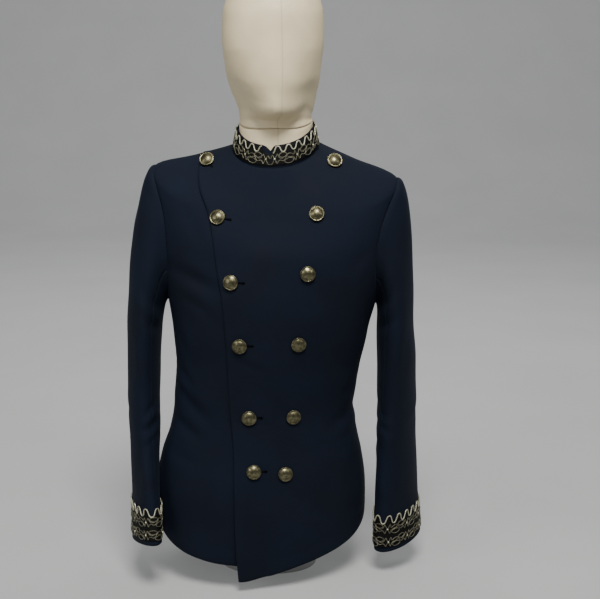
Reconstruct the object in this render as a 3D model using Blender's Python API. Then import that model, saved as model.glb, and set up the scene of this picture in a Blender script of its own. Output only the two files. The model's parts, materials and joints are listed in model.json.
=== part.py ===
import math

import bmesh
import bpy
import numpy as np
from mathutils import Quaternion, Vector
from mathutils.bvhtree import BVHTree

# A double-breasted service coat with a stand collar, worn by a display form that ends at the neck
# and a plain head. Tables are in millimetres and degrees. The front faces -Y, the wearer's left is
# +X, and heights in the tables are measured from the side of the neckline, NECK_HEIGHT above the
# floor that the form stands on.
MM = 0.001
NECK_HEIGHT = 748.0
CLOTH = 2.0
SEAM = 0.3
BRAID = 1.0

# The coat's body is a stack of closed sections, hem to neckline. Each has its height at the side,
# the centre front and the centre back, its half width, its depth to the front and to the back, how
# square it is, how far it is shifted sideways and backwards, how far its front is turned to the
# wearer's left, and its rise towards the wearer's left.
BODY_COLUMNS = ("side_z", "front_z", "back_z", "half_width", "front_depth", "back_depth", "power",
                "sway", "lean", "turn", "tilt")
BODY_ROWS = {
    "hem":        (-640, -719, -652, 191, 128, 134, 2.30, -22, 0, 8.0, 0.00),
    "skirt":      (-585, -642, -592, 190, 126, 132, 2.30, -21, 0, 8.0, 0.00),
    "hip":        (-530, -562, -534, 181, 120, 126, 2.30, -20, 0, 8.0, 0.00),
    "low_waist":  (-480, -497, -480, 168, 112, 114, 2.25, -17, 0, 7.5, 0.00),
    "waist":      (-432, -438, -430, 161, 108, 106, 2.20, -15, 0, 7.0, 0.00),
    "ribs":       (-370, -368, -366, 163, 113, 108, 2.25, -9, 0, 5.0, 0.00),
    "side_chest": (-310, -304, -304, 171, 120, 112, 2.30, -4, 0, 2.5, 0.00),
    "armpit":     (-255, -247, -246, 180, 124, 115, 2.35, -2, 0, 0.0, -0.02),
    "arm_middle": (-145, -166, -154, 198, 120, 113, 2.40, 1, 2, -4.0, -0.04),
    "shoulder":   (-34, -100, -56, 210, 100, 98, 2.40, 4, 6, -5.0, -0.045),
    "yoke":       (-6, -56, 0, 138, 84, 78, 2.20, 4, 9, -7.0, -0.02),
    "neckline":   (9, -20, 36, 73, 70, 64, 2.05, 5, 10, -8.0, 0.01),
}
RISE_SOFTNESS = 0.25
HEM_ROWS = 13
ARMHOLE_ROWS = 12
SHOULDER_ROWS = 5
SIDE_COLUMNS = 5
LAP_COLUMNS = 6
UNDER_COLUMNS = 3
BACK_COLUMNS = 8

# Half the angle, seen from above, that the armhole cuts out of the front and out of the back.
ARMHOLE_FRONT = 20.0
ARMHOLE_BACK = 22.0
SHOULDER_ROUND = 12.0

# Distance from the centre front to the lapping front's free edge, at each level of BODY_ROWS.
LAP_EDGE = {
    "hem": 55, "skirt": 61, "hip": 62.5, "low_waist": 64, "waist": 69, "ribs": 75.5, "side_chest": 78.5,
    "armpit": 80, "arm_middle": 88, "shoulder": 104, "yoke": 125, "neckline": 126,
}
UNDER_EDGE = 56.0
LAP_BLEND = 60.0
LAP_LIFT = 4.0
LAP_LIFT_TOP = 240.0
LAP_CORNER_DROP = 10.0
LAP_HEM_RISE = 17.0
UNDER_HEM_RISE = 17.0
SHOULDER_STOP = 3.0

# Soft hollows in the cloth: the ends in the front or back view, the half width and the depth.
FOLD_COLUMNS = ("side", "x1", "z1", "x2", "z2", "width", "depth")
FOLD_ROWS = {
    "armhole_drag":  ("front", -172, -185, -92, -215, 13, 4.0),
    "waist_drag":    ("front", -172, -395, -120, -440, 12, 3.5),
    "waist_drag_2":  ("front", -170, -455, -128, -478, 11, 3.0),
    "left_drag":     ("front", 150, -440, 105, -462, 12, 3.0),
    "back_waist":    ("back", -90, -436, 70, -428, 16, 4.0),
    "back_drag":     ("back", 150, -395, 95, -425, 12, 3.0),
}

# Sleeves below the armpit, as sections: the centre, the half width across, the half depth and how
# far the front edge is turned inwards. The last column is how much lower the front edge hangs.
SLEEVE_COLUMNS = ("z", "x", "y", "half_width", "half_depth", "turn", "drop")
SLEEVE_ROWS = {
    "left": (
        (-305, 218, 12, 33.0, 80, 6, 0),
        (-360, 221, 12, 34.5, 77, 9, 0),
        (-430, 223, 9, 34.0, 72, 14, 0),
        (-500, 224, 2, 32.5, 68, 20, 0),
        (-570, 225, -6, 31.0, 64, 28, 2),
        (-630, 226, -14, 30.0, 60, 36, 5),
        (-693, 228, -22, 30.0, 57, 44, 10),
    ),
    "right": (
        (-305, -228, 12, 30.5, 80, 3, 0),
        (-360, -230, 8, 29.5, 77, 4, 0),
        (-430, -231, -2, 29.0, 72, 5, 0),
        (-500, -230, -20, 27.0, 68, 8, 0),
        (-555, -228, -44, 24.5, 64, 12, 0),
        (-612, -225, -68, 22.5, 60, 18, -5),
        (-666, -223, -90, 22.0, 58, 22, -11),
    ),
}
SLEEVE_STATIONS = (0.0, 0.05, 0.12, 0.22, 0.35, 0.5, 0.66, 0.82, 1.0)
SLEEVE_STEP = 36.0
CAP_CLEAR = 0.25
CAP_REACH_TOP = 105.0
CAP_REACH_SIDE = 60.0
CAP_REACH_ARMPIT = 22.0
CAP_FALL_TOP = 250.0
CAP_FALL_ARMPIT = 45.0
FRONT_SEAM_COLUMN = 8
BACK_SEAM_COLUMN = 17

# The sleeve's end and, above it, the edges of the cuff's braid.
CUFF_LEVELS = (0.0, 8.0, 27.0, 31.0, 50.0, 71.0)

COLLAR_HEIGHT_FRONT = 38.0
COLLAR_HEIGHT_BACK = 38.0
COLLAR_LEAN = 8.0
COLLAR_NOTCH = 9.0
COLLAR_NOTCH_LEFT = 9.0
COLLAR_NOTCH_RIGHT = 16.0
COLLAR_BRAID_FOOT = 5.0

# Buttons, from the neck down: height and distance from the centre front of the one on the
# wearer's right, and of the one on the left.
BUTTON_ROWS = (
    (-11, 111.5, -11, 103),
    (-97, 87, -90, 76.5),
    (-200, 63.5, -185, 63.5),
    (-307, 56.5, -304.5, 41),
    (-435, 39, -436, 36.5),
    (-529, 30.5, -535.5, 24),
)
BUTTON_SIDES = 12
BUTTON_PROFILE = (
    (2.5, 0.0),
    (2.5, 1.5),
    (12.0, 1.5),
    (12.7, 3.0),
    (10.6, 3.5),
    (6.2, 6.0),
)
BUTTON_CROWN = 7.0

# The top pair hangs from a longer shank on the slope of the shoulder, so its face tips forwards.
TOP_BUTTON_TIP = 20.0
TOP_BUTTON_SHANK = 3.2

# The form inside the coat: how far it lies below the coat's outer surface at each level.
FORM_INSET = {
    "hip": 13.0, "low_waist": 12.0, "waist": 10.0, "ribs": 10.0, "side_chest": 10.0,
    "armpit": 9.0, "arm_middle": 8.5, "shoulder": 9.0, "yoke": 2.6, "neckline": 2.6,
}
NECK_CLEARANCE = 0.8

# The neck inside the collar, and its joint with the head, which is higher up the neck in front.
NECK_LEVELS = (20.0, 38.0)
NECK_JOINT = 46.0
NECK_JOINT_RISE = 20.0
NECK_FLARE = 1.5
HEAD_STEP = 3.0

# The form's foot and the head: height, centre, half width, depth to the front and to the back.
ROUND_COLUMNS = ("z", "x", "y", "half_width", "front", "back")
FOOT_ROWS = (
    (-748, -8, 4, 88, 66, 68),
    (-735, -8, 4, 88, 66, 68),
    (-695, -8, 4, 82, 62, 64),
    (-655, -10, 3, 92, 68, 72),
    (-624, -14, 2, 124, 86, 92),
    (-598, -18, 1, 150, 98, 106),
    (-576, -20, 0, 163, 103, 112),
)
HEAD_ROWS = (
    (58, 4, 8, 60, 50, 58),
    (66, 4, 7, 61, 70, 60),
    (74, 4, 6, 63, 84, 64),
    (88, 3, 6, 67, 92, 76),
    (104, 2, 6, 72, 95, 88),
    (122, 1, 6, 77, 96, 94),
    (150, 0, 6, 81, 95, 100),
    (190, 0, 6, 85, 92, 103),
    (225, 0, 6, 84, 87, 100),
    (252, 0, 6, 78, 78, 91),
    (275, 0, 6, 65, 64, 75),
    (291, 0, 6, 42, 42, 50),
)
HEAD_TOP = 299.0


def clear_scene():
    for item in list(bpy.data.objects):
        bpy.data.objects.remove(item, do_unlink=True)


def material(name, colour, roughness, metallic=0.0):
    made = bpy.data.materials.new(name)
    made.use_nodes = True
    surface = made.node_tree.nodes["Principled BSDF"]
    surface.inputs["Base Color"].default_value = (*colour, 1.0)
    surface.inputs["Roughness"].default_value = roughness
    surface.inputs["Metallic"].default_value = metallic
    return made


def smooth_table(stations, values, at):
    """Smooth values between table rows that never swing past a row's own value."""
    stations = np.asarray(stations, float)
    values = np.asarray(values, float)
    at = np.clip(np.asarray(at, float), stations[0], stations[-1])
    step = np.diff(stations)
    slope = np.diff(values) / step
    tangent = np.empty_like(values)
    tangent[0], tangent[-1] = slope[0], slope[-1]
    before, after = slope[:-1], slope[1:]
    weight_1 = 2 * step[1:] + step[:-1]
    weight_2 = step[1:] + 2 * step[:-1]
    same = before * after > 0
    with np.errstate(divide="ignore", invalid="ignore"):
        mean = (weight_1 + weight_2) / (weight_1 / before + weight_2 / after)
    tangent[1:-1] = np.where(same, mean, 0.0)
    row = np.clip(np.searchsorted(stations, at, side="right") - 1, 0, len(step) - 1)
    t = (at - stations[row]) / step[row]
    rise = 3 * t**2 - 2 * t**3
    return (values[row] * (1 - rise) + values[row + 1] * rise
            + step[row] * (tangent[row] * (t**3 - 2 * t**2 + t)
                           + tangent[row + 1] * (t**3 - t**2)))


def side_stations():
    """Distance up the coat's side from the hem to each row of BODY_ROWS."""
    sides = np.array([(row[3], row[0]) for row in BODY_ROWS.values()], float)
    steps = np.hypot(*np.diff(sides, axis=0).T)
    return np.concatenate(([0.0], np.cumsum(steps)))


STATIONS = side_stations()
LEVEL = dict(zip(BODY_ROWS, STATIONS))
ARMHOLE_TOP = LEVEL["shoulder"] + SHOULDER_ROUND
BODY_TABLE = {name: [row[i] for row in BODY_ROWS.values()]
              for i, name in enumerate(BODY_COLUMNS)}


def body(name, level):
    return smooth_table(STATIONS, BODY_TABLE[name], level)


def blend(t):
    t = np.clip(t, 0.0, 1.0)
    return t * t * (3 - 2 * t)


def soft_rise(reach):
    """0 at the side to 1 at the front, rounded over the side instead of creased."""
    soft = RISE_SOFTNESS
    return (np.sqrt(reach**2 + soft**2) - soft) / (math.sqrt(1 + soft**2) - soft)


def smooth_point(level, angle):
    """The body's outer surface. Angle 0 is the wearer's left side and 90 degrees the centre front."""
    level, angle = np.broadcast_arrays(np.asarray(level, float), np.asarray(angle, float))
    cosine, sine = np.cos(angle), np.sin(angle)
    front = sine >= 0
    depth = np.where(front, body("front_depth", level), body("back_depth", level))
    power = body("power", level)
    radius = ((np.abs(cosine) / body("half_width", level))**power
              + (np.abs(sine) / depth)**power)**(-1 / power)
    x, y = radius * cosine, -radius * sine
    side_z = body("side_z", level)
    end_z = np.where(front, body("front_z", level), body("back_z", level))
    z = side_z + (end_z - side_z) * soft_rise(np.abs(y) / depth) + body("tilt", level) * x
    turn = np.radians(body("turn", level))
    return np.stack((x * np.cos(turn) - y * np.sin(turn) + body("sway", level),
                     x * np.sin(turn) + y * np.cos(turn) + body("lean", level), z), -1)


def unit(vectors):
    return vectors / np.linalg.norm(vectors, axis=-1, keepdims=True)


def surface_normal(point, level, angle, step=9.0, turn=0.008):
    """The outward normal of a surface point(level, angle), from points close around it."""
    level = np.asarray(level, float)
    top = np.minimum(level + step, STATIONS[-1])
    low = np.maximum(top - 2 * step, 0.0)
    up = point(top, angle) - point(low, angle)
    along = point(level, angle + turn) - point(level, angle - turn)
    return unit(np.cross(up, along))


def fold_depth(points, y_sign):
    """How far the folds push the surface in at each point."""
    depth = np.zeros(points.shape[:-1])
    for row in FOLD_ROWS.values():
        fold = dict(zip(FOLD_COLUMNS, row))
        facing = {"front": -1, "back": 1}[fold["side"]]
        start = np.array((fold["x1"], fold["z1"]), float)
        along = np.array((fold["x2"], fold["z2"]), float) - start
        flat = points[..., (0, 2)] - start
        share = np.clip((flat @ along) / (along @ along), 0, 1)
        away = np.linalg.norm(flat - share[..., None] * along, axis=-1)
        fade = np.sin(np.pi * np.clip(0.12 + 0.76 * share, 0, 1))
        depth = depth + (facing == y_sign) * fold["depth"] * fade * np.exp(-(away / fold["width"])**2)
    return depth


def body_point(level, angle):
    base = smooth_point(level, angle)
    normal = surface_normal(smooth_point, level, angle)
    facing = np.where(np.sin(np.asarray(angle) + 0 * base[..., 0]) >= 0, -1, 1)
    depth = np.where(facing < 0, fold_depth(base, -1), fold_depth(base, 1))
    return base - depth[..., None] * normal


def body_normal(level, angle):
    return surface_normal(smooth_point, level, angle)


def angle_at(level, distance, sign):
    """The angle whose point lies this far across from the centre front, to the side of sign."""
    angles = np.linspace(math.radians(0.5), math.pi / 2, 400)
    power = body("power", level)
    radius = ((np.cos(angles) / body("half_width", level))**power
              + (np.sin(angles) / body("front_depth", level))**power)**(-1 / power)
    across = radius * np.cos(angles)
    found = np.interp(-distance, -across, angles)
    return found if sign > 0 else math.pi - found


def seam_angle(level, gap=SEAM / 2):
    return gap / body("half_width", level)


def body_levels():
    low = np.linspace(LEVEL["hem"], LEVEL["armpit"], HEM_ROWS + 1)
    middle = (LEVEL["armpit"] + ARMHOLE_TOP) / 2
    half = (ARMHOLE_TOP - LEVEL["armpit"]) / 2
    arm = middle - half * np.cos(np.pi * np.arange(1, ARMHOLE_ROWS + 1) / ARMHOLE_ROWS)
    top = np.linspace(ARMHOLE_TOP, LEVEL["neckline"], SHOULDER_ROWS + 1)[1:]
    return np.concatenate((low, arm, top))


LEVELS = body_levels()


def armhole_angle(level, widest):
    """How far the armhole's edge lies from the side line at this level."""
    middle = (LEVEL["armpit"] + ARMHOLE_TOP) / 2
    half = (ARMHOLE_TOP - LEVEL["armpit"]) / 2
    share = np.clip((level - middle) / half, -1, 1)
    return math.radians(widest) * math.sqrt(max(0.0, 1 - share**2))


def border_angle(level, widest):
    return max(armhole_angle(level, widest), seam_angle(level))


def lap_angle(level):
    edge = float(smooth_table(STATIONS, list(LAP_EDGE.values()), level))
    stop = math.pi - SHOULDER_STOP / float(body("half_width", level))
    return min(float(angle_at(level, edge, -1)), stop)


def under_angle(level):
    return float(angle_at(level, UNDER_EDGE, 1))


def spread(stops, counts):
    """Columns shared out between fixed stops."""
    parts = [np.linspace(a, b, n + 1)[:-1] for a, b, n in zip(stops, stops[1:], counts)]
    return np.concatenate(parts + [[stops[-1]]])


def front_left_columns(level):
    stops = (border_angle(level, ARMHOLE_FRONT), under_angle(level), math.pi / 2, lap_angle(level))
    return spread(stops, (SIDE_COLUMNS, UNDER_COLUMNS, LAP_COLUMNS))


def front_right_columns(level):
    side = math.pi - border_angle(level, ARMHOLE_FRONT)
    stops = (under_angle(level), math.pi / 2, lap_angle(level), side)
    return spread(stops, (UNDER_COLUMNS, LAP_COLUMNS, SIDE_COLUMNS))


def back_columns(level, left):
    side = border_angle(level, ARMHOLE_BACK)
    depth = float(body("back_depth", level))
    centre = SEAM / 2 / depth
    if left:
        return np.linspace(1.5 * math.pi + centre, 2 * math.pi - side, BACK_COLUMNS + 1)
    return np.linspace(math.pi + side, 1.5 * math.pi - centre, BACK_COLUMNS + 1)


def no_offset(level, angles):
    return 0.0 * angles


def no_share(angles):
    return 0.0 * angles


def collar_direction(angle):
    """Up the collar's wall from the neckline: upwards, leaning in towards the neck."""
    top = LEVEL["neckline"]
    point = smooth_point(top, angle)
    centre = np.array((body("sway", top), body("lean", top), 0.0))
    inward = centre - point
    inward[..., 2] = 0.0
    return unit(np.stack((0 * angle, 0 * angle, COLLAR_HEIGHT_FRONT + 0 * angle), -1)
                + COLLAR_LEAN * unit(inward))


def collar_normal(angle):
    top = LEVEL["neckline"]
    along = smooth_point(top, angle + 0.01) - smooth_point(top, angle - 0.01)
    return unit(np.cross(collar_direction(angle), along))


def neckline_mitre(angles):
    """Along the joint between body and collar, one unit away from both of their surfaces."""
    normal = body_normal(LEVEL["neckline"], angles)
    upright = collar_normal(angles)
    return (normal + upright) / (1 + np.sum(normal * upright, -1, keepdims=True))


def panel_surfaces(angle_rows, offset, hem_share=no_share):
    """The outer and inner points of a body panel. hem_share moves its hem along the surface."""
    outer, inner = [], []
    for level, angles in zip(LEVELS, angle_rows):
        point = body_point(level, angles)
        at_neck = level == LEVELS[-1]
        away = neckline_mitre(angles) if at_neck else body_normal(level, angles)
        lift = offset(level, angles)[:, None]
        outer.append(point + lift * away)
        inner.append(point + (lift - CLOTH) * away)
    outer, inner = np.array(outer), np.array(inner)
    share = hem_share(angle_rows[0])[:, None]
    for grid in (outer, inner):
        grid[0] = grid[0] + share * (grid[1] - grid[0])
    return outer, inner


def build_object(name, points, faces, look):
    """A closed mesh from points in millimetres."""
    data = bpy.data.meshes.new(name)
    points = np.asarray(points, float) + np.array((0.0, 0.0, NECK_HEIGHT))
    data.from_pydata((points * MM).tolist(), [], [list(face) for face in faces])
    data.update()
    work = bmesh.new()
    work.from_mesh(data)
    bmesh.ops.recalc_face_normals(work, faces=work.faces)
    if work.calc_volume(signed=True) < 0:
        bmesh.ops.reverse_faces(work, faces=work.faces)
    work.to_mesh(data)
    work.free()
    data.materials.append(look)
    data.shade_smooth()
    data.set_sharp_from_angle(angle=math.radians(40))
    made = bpy.data.objects.new(name, data)
    bpy.context.scene.collection.objects.link(made)
    return made


def edge_strip(points, size, a, b):
    """Two faces across a wall's edge, split from its lower outer point to its upper inner one."""
    if points[a][2] > points[b][2]:
        a, b = b, a
    return [(a, b + size, a + size), (a, b, b + size)]


def wall(name, outer, inner, look, closed=False):
    """A cloth wall from its outer and inner grids, open at all four edges or closed round."""
    rows, columns = outer.shape[:2]
    points = np.concatenate((outer.reshape(-1, 3), inner.reshape(-1, 3)))
    size = rows * columns
    spans = columns if closed else columns - 1
    faces = []
    for i in range(rows - 1):
        for j in range(spans):
            a, b = i * columns + j, i * columns + (j + 1) % columns
            c, d = b + columns, a + columns
            faces += [(a, b, d), (b, c, d)]
            faces += [(a + size, d + size, b + size), (b + size, d + size, c + size)]
    for j in range(spans):
        for first in (0, size - columns):
            faces += edge_strip(points, size, first + j, first + (j + 1) % columns)
    if not closed:
        for i in range(rows - 1):
            for first in (0, columns - 1):
                a = i * columns + first
                faces += edge_strip(points, size, a, a + columns)
    return build_object(name, points, faces, look)


def lap_offset(level, angles):
    """The lapping front rides on the front below it, and comes down to the body beyond its edge."""
    edge = under_angle(level)
    radius = float(body("front_depth", level))
    past = (edge - angles) * radius * 1.25
    ride = (CLOTH + SEAM) * (1 - blend((past - 4) / LAP_BLEND))
    free = lap_angle(level)
    near_edge = blend((angles - math.pi / 2) / (free - math.pi / 2))
    low = 1 - blend(level / LAP_LIFT_TOP)
    return ride + LAP_LIFT * low * near_edge * (angles > math.pi / 2)


def lap_hem_share(angles):
    """The lapping hem hangs lowest at its corner and rises between the centre and the side."""
    front_step = (body("front_z", LEVELS[1]) - body("front_z", LEVELS[0]))
    free = lap_angle(LEVELS[0])
    near = blend((angles - math.pi / 2) / (free - math.pi / 2)) * (angles > math.pi / 2)
    rise = np.sin(np.clip(angles, 0, math.pi / 2) * 2)
    return (LAP_HEM_RISE * rise - LAP_CORNER_DROP * near) / front_step


def under_hem_share(angles):
    """The front below ends higher than the lapping one, and meets the side at the same height."""
    front_step = (body("front_z", LEVELS[1]) - body("front_z", LEVELS[0]))
    away = np.clip((angles - lap_angle(LEVELS[0])) / (math.pi - lap_angle(LEVELS[0])), 0, 1)
    return UNDER_HEM_RISE / front_step * (1 - blend(away))


def build_body(cloth):
    rows = [front_left_columns(level) for level in LEVELS]
    outer, inner = panel_surfaces(rows, lap_offset, lap_hem_share)
    front = wall("front_left", outer, inner, cloth)
    rows = [front_right_columns(level) for level in LEVELS]
    outer, inner = panel_surfaces(rows, no_offset, under_hem_share)
    wall("front_right", outer, inner, cloth)
    for name, left in (("back_left", True), ("back_right", False)):
        rows = [back_columns(level, left) for level in LEVELS]
        outer, inner = panel_surfaces(rows, no_offset)
        wall(name, outer, inner, cloth)
    return front


def armhole_ring(left):
    """Round the armhole from the shoulder, down its front and up its back: points and normals."""
    middle = (LEVEL["armpit"] + ARMHOLE_TOP) / 2
    half = (ARMHOLE_TOP - LEVEL["armpit"]) / 2
    turn = np.arange(2 * ARMHOLE_ROWS) * math.pi / ARMHOLE_ROWS
    level = middle + half * np.cos(turn)
    widest = np.where(np.sin(turn) >= 0, ARMHOLE_FRONT, ARMHOLE_BACK)
    angle = np.radians(widest) * np.sin(turn)
    angle = angle if left else math.pi - angle
    return body_point(level, angle), body_normal(level, angle), turn


def sleeve_sections(side, heights, turn):
    """The sleeve below the armpit: one section of points for each height."""
    rows = np.array(SLEEVE_ROWS[side], float)
    stations = -rows[:, 0]
    value = {name: smooth_table(stations, rows[:, i], -np.asarray(heights, float))
             for i, name in enumerate(SLEEVE_COLUMNS)}
    outward = 1.0 if side == "left" else -1.0
    sections = []
    for i, height in enumerate(heights):
        across = value["half_width"][i] * np.cos(turn)
        forward = value["half_depth"][i] * np.sin(turn)
        swing = math.radians(value["turn"][i])
        x = across * math.cos(swing) - forward * math.sin(swing)
        y = -(forward * math.cos(swing) + across * math.sin(swing))
        z = height - value["drop"][i] * np.sin(turn)
        sections.append(np.stack((value["x"][i] + outward * x, value["y"][i] + y, z), -1))
    return np.array(sections)


def sleeve_surface(side):
    """Rings of the sleeve's outer surface from the armhole to the cuff."""
    left = side == "left"
    ring, normal, turn = armhole_ring(left)
    tangent = unit(np.roll(ring, -1, 0) - np.roll(ring, 1, 0))
    into = unit(np.cross(normal, tangent))
    centre = ring.mean(0)
    into = into * np.sign(np.sum(into * (centre - ring), -1, keepdims=True))
    start = ring + SEAM * into
    outward = np.array((1.0 if left else -1.0, 0.0, 0.0))
    top = blend((np.cos(turn) + 1) / 2)[:, None]
    leave = unit(outward + into * (0.22 + 0.2 * (1 - top)))
    clear = np.sum(leave * normal, -1, keepdims=True)
    leave = unit(leave + normal * np.maximum(0, CAP_CLEAR - clear))
    sideways = np.abs(np.sin(turn))[:, None]
    reach = CAP_REACH_ARMPIT + (CAP_REACH_TOP - CAP_REACH_ARMPIT) * top
    reach = reach * (1 - sideways**2) + CAP_REACH_SIDE * sideways**2
    fall = CAP_FALL_ARMPIT + (CAP_FALL_TOP - CAP_FALL_ARMPIT) * top
    first = SLEEVE_ROWS[side][0][0]
    end = sleeve_sections(side, [first], turn)[0]
    below = sleeve_sections(side, [first - 1.0], turn)[0]
    down = unit(below - end)
    rings = []
    for t in SLEEVE_STATIONS:
        rings.append(start * (2 * t**3 - 3 * t**2 + 1) + leave * reach * (t**3 - 2 * t**2 + t)
                     + end * (3 * t**2 - 2 * t**3) + down * fall * (t**3 - t**2))
    last = SLEEVE_ROWS[side][-1][0]
    cuff = [last + rise for rise in CUFF_LEVELS]
    count = max(1, round((first - cuff[-1]) / SLEEVE_STEP))
    heights = list(np.linspace(first, cuff[-1], count + 1)[1:]) + cuff[-2::-1]
    rings = np.concatenate((np.array(rings), sleeve_sections(side, heights, turn)))
    return rings, normal, into


def tube_normals(rings, left):
    """Outward normals of a stack of rings."""
    down = np.gradient(rings, axis=0)
    around = np.roll(rings, -1, 1) - np.roll(rings, 1, 1)
    normal = unit(np.cross(around, down))
    return normal if left else -normal


def build_sleeve(side, cloth, braid):
    left = side == "left"
    rings, armhole_normal, into = sleeve_surface(side)
    normals = tube_normals(rings, left)
    away = rings - rings.mean(1, keepdims=True)
    if np.sum(normals[-1] * away[-1]) < 0:
        normals = -normals
    inner = rings - CLOTH * normals
    inner[0] = rings[0] - CLOTH * armhole_normal
    columns = rings.shape[1]
    parts = {
        "top_sleeve_": [j % columns for j in range(BACK_SEAM_COLUMN, columns + FRONT_SEAM_COLUMN + 1)],
        "under_sleeve_": list(range(FRONT_SEAM_COLUMN, BACK_SEAM_COLUMN + 1)),
    }
    for name, picked in parts.items():
        outside, inside = rings[:, picked].copy(), inner[:, picked].copy()
        for grid in (outside, inside):
            grid[:, 0] += SEAM / 2 * unit(grid[:, 1] - grid[:, 0])
            grid[:, -1] += SEAM / 2 * unit(grid[:, -2] - grid[:, -1])
        wall(name + side, outside, inside, cloth)
    picked = slice(-len(CUFF_LEVELS), -1)
    low = rings[picked] + SEAM * normals[picked]
    high = rings[picked] + (SEAM + BRAID) * normals[picked]
    wall("cuff_braid_" + side, high, low, braid, closed=True)


def collar_angles():
    """The columns of the panels' top edges, from the centre front right round the neck."""
    top = LEVEL["neckline"]
    gap = SEAM / 2 / float(body("front_depth", top))
    quarter = math.pi / 2
    over = spread((quarter + gap, lap_angle(top), 2 * quarter), (LAP_COLUMNS, 1))
    back = np.linspace(2 * quarter, 4 * quarter, 2 * BACK_COLUMNS + 1)[1:]
    left = spread((0.0, under_angle(top), quarter - gap), (SIDE_COLUMNS, UNDER_COLUMNS))[1:]
    return np.concatenate((over, back, left + 4 * quarter))


def collar_height(angles):
    back = (1 - np.sin(angles)) / 2
    return COLLAR_HEIGHT_FRONT + (COLLAR_HEIGHT_BACK - COLLAR_HEIGHT_FRONT) * back


def collar_grid(angles, low, high, away, rows):
    """Points on the collar's wall, away from its outer face, between two heights."""
    foot = smooth_point(LEVEL["neckline"], angles)
    climb = collar_direction(angles)
    shares = np.linspace(0, 1, rows)[:, None, None]
    height = low * (1 - shares) + high[:, None] * shares
    return foot + climb * height + away * collar_normal(angles)


def notched(grids):
    """Adds columns beside the centre front and lowers the collar's top there to a rounded notch."""
    made = []
    for grid in grids:
        for _ in range(2):
            first = (grid[:, :1] + grid[:, 1:2]) / 2
            last = (grid[:, -1:] + grid[:, -2:-1]) / 2
            grid = np.concatenate((grid[:, :1], first, grid[:, 1:-1], last, grid[:, -1:]), 1)
        centre = (grid[-1, 0] + grid[-1, -1]) / 2
        away = np.linalg.norm(grid[-1] - centre, axis=-1)
        columns = np.arange(len(away))
        width = np.where(columns < len(away) / 2, COLLAR_NOTCH_RIGHT, COLLAR_NOTCH_LEFT)
        drop = COLLAR_NOTCH * np.clip(1 - away / width, 0, 1)**2
        share = drop / np.linalg.norm(grid[-1] - grid[0], axis=-1)
        rise = np.linspace(0, 1, len(grid))[:, None, None]
        made.append(grid - rise**2 * (share[:, None] * (grid[-1] - grid[0]))[None])
    return made


def build_collar(cloth, braid):
    angles = collar_angles()
    top = collar_height(angles)
    outer = collar_grid(angles, SEAM, top, 0.0, 4)
    inner = collar_grid(angles, SEAM, top, -CLOTH, 4)
    inner[0] = outer[0] - CLOTH * neckline_mitre(angles)
    outer, inner = notched((outer, inner))
    wall("collar", outer, inner, cloth)
    outer = collar_grid(angles, COLLAR_BRAID_FOOT, top - 1.0, SEAM + BRAID, 3)
    inner = collar_grid(angles, COLLAR_BRAID_FOOT, top - 1.0, SEAM, 3)
    outer, inner = notched((outer, inner))
    wall("collar_braid", outer, inner, braid)


def build_button(name, seat, normal, brass, tip=0.0, shank=0.0):
    """A domed button on the front's own facets, its face tipped forwards on a longer shank."""
    turned = bmesh.new()
    rings = []
    for radius, height in BUTTON_PROFILE:
        height += shank * (height > 0)
        ring = []
        for k in range(BUTTON_SIDES):
            turn = 2 * math.pi * k / BUTTON_SIDES
            ring.append(turned.verts.new((radius * math.cos(turn), radius * math.sin(turn), height)))
        rings.append(ring)
    for low, high in zip(rings, rings[1:]):
        for k in range(BUTTON_SIDES):
            n = (k + 1) % BUTTON_SIDES
            turned.faces.new((low[k], low[n], high[n], high[k]))
    turned.faces.new(rings[0][::-1])
    crown = turned.verts.new((0, 0, BUTTON_CROWN + shank))
    for k in range(BUTTON_SIDES):
        turned.faces.new((rings[-1][k], rings[-1][(k + 1) % BUTTON_SIDES], crown))
    for vert in turned.verts:
        vert.co *= MM
    data = bpy.data.meshes.new(name)
    turned.to_mesh(data)
    turned.free()
    data.materials.append(brass)
    data.shade_smooth()
    data.set_sharp_from_angle(angle=math.radians(50))
    made = bpy.data.objects.new(name, data)
    bpy.context.scene.collection.objects.link(made)
    sideways = normal.cross(Vector((0, -1, 0))).normalized()
    axis = Quaternion(sideways, math.radians(tip)) @ normal
    made.rotation_euler = axis.to_track_quat("Z", "Y").to_euler()
    foot = BUTTON_PROFILE[0][0] * math.sin(math.radians(tip))
    made.location = seat + normal * ((SEAM + foot) * MM)


def build_buttons(front, brass):
    tree = BVHTree.FromObject(front, bpy.context.evaluated_depsgraph_get())
    levels = np.linspace(0, STATIONS[-1], 500)
    for number, row in enumerate(BUTTON_ROWS, 1):
        for side, sign, (height, distance) in (("right", -1, row[:2]), ("left", 1, row[2:])):
            angles = np.array([float(angle_at(level, distance, sign)) for level in levels])
            path = body_point(levels, angles)
            i = int(np.argmin(np.abs(path[:, 2] - height)))
            away = Vector(body_normal(levels[i:i + 1], angles[i:i + 1])[0])
            place = Vector((path[i] + np.array((0, 0, NECK_HEIGHT))) * MM)
            seat, facet, _, _ = tree.ray_cast(place + away * 0.03, -away)
            tipped = (TOP_BUTTON_TIP, TOP_BUTTON_SHANK) if number == 1 else ()
            build_button(f"button_{side}_{number}", seat, facet, brass, *tipped)


def round_section(row, turn, power=2.2):
    """A closed section of the form's foot or of the head."""
    value = dict(zip(ROUND_COLUMNS, row))
    cosine, sine = np.cos(turn), np.sin(turn)
    depth = np.where(sine >= 0, value["front"], value["back"])
    radius = ((np.abs(cosine) / value["half_width"])**power
              + (np.abs(sine) / depth)**power)**(-1 / power)
    return np.stack((value["x"] + radius * cosine, value["y"] - radius * sine,
                     value["z"] + 0 * turn), -1)


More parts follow.
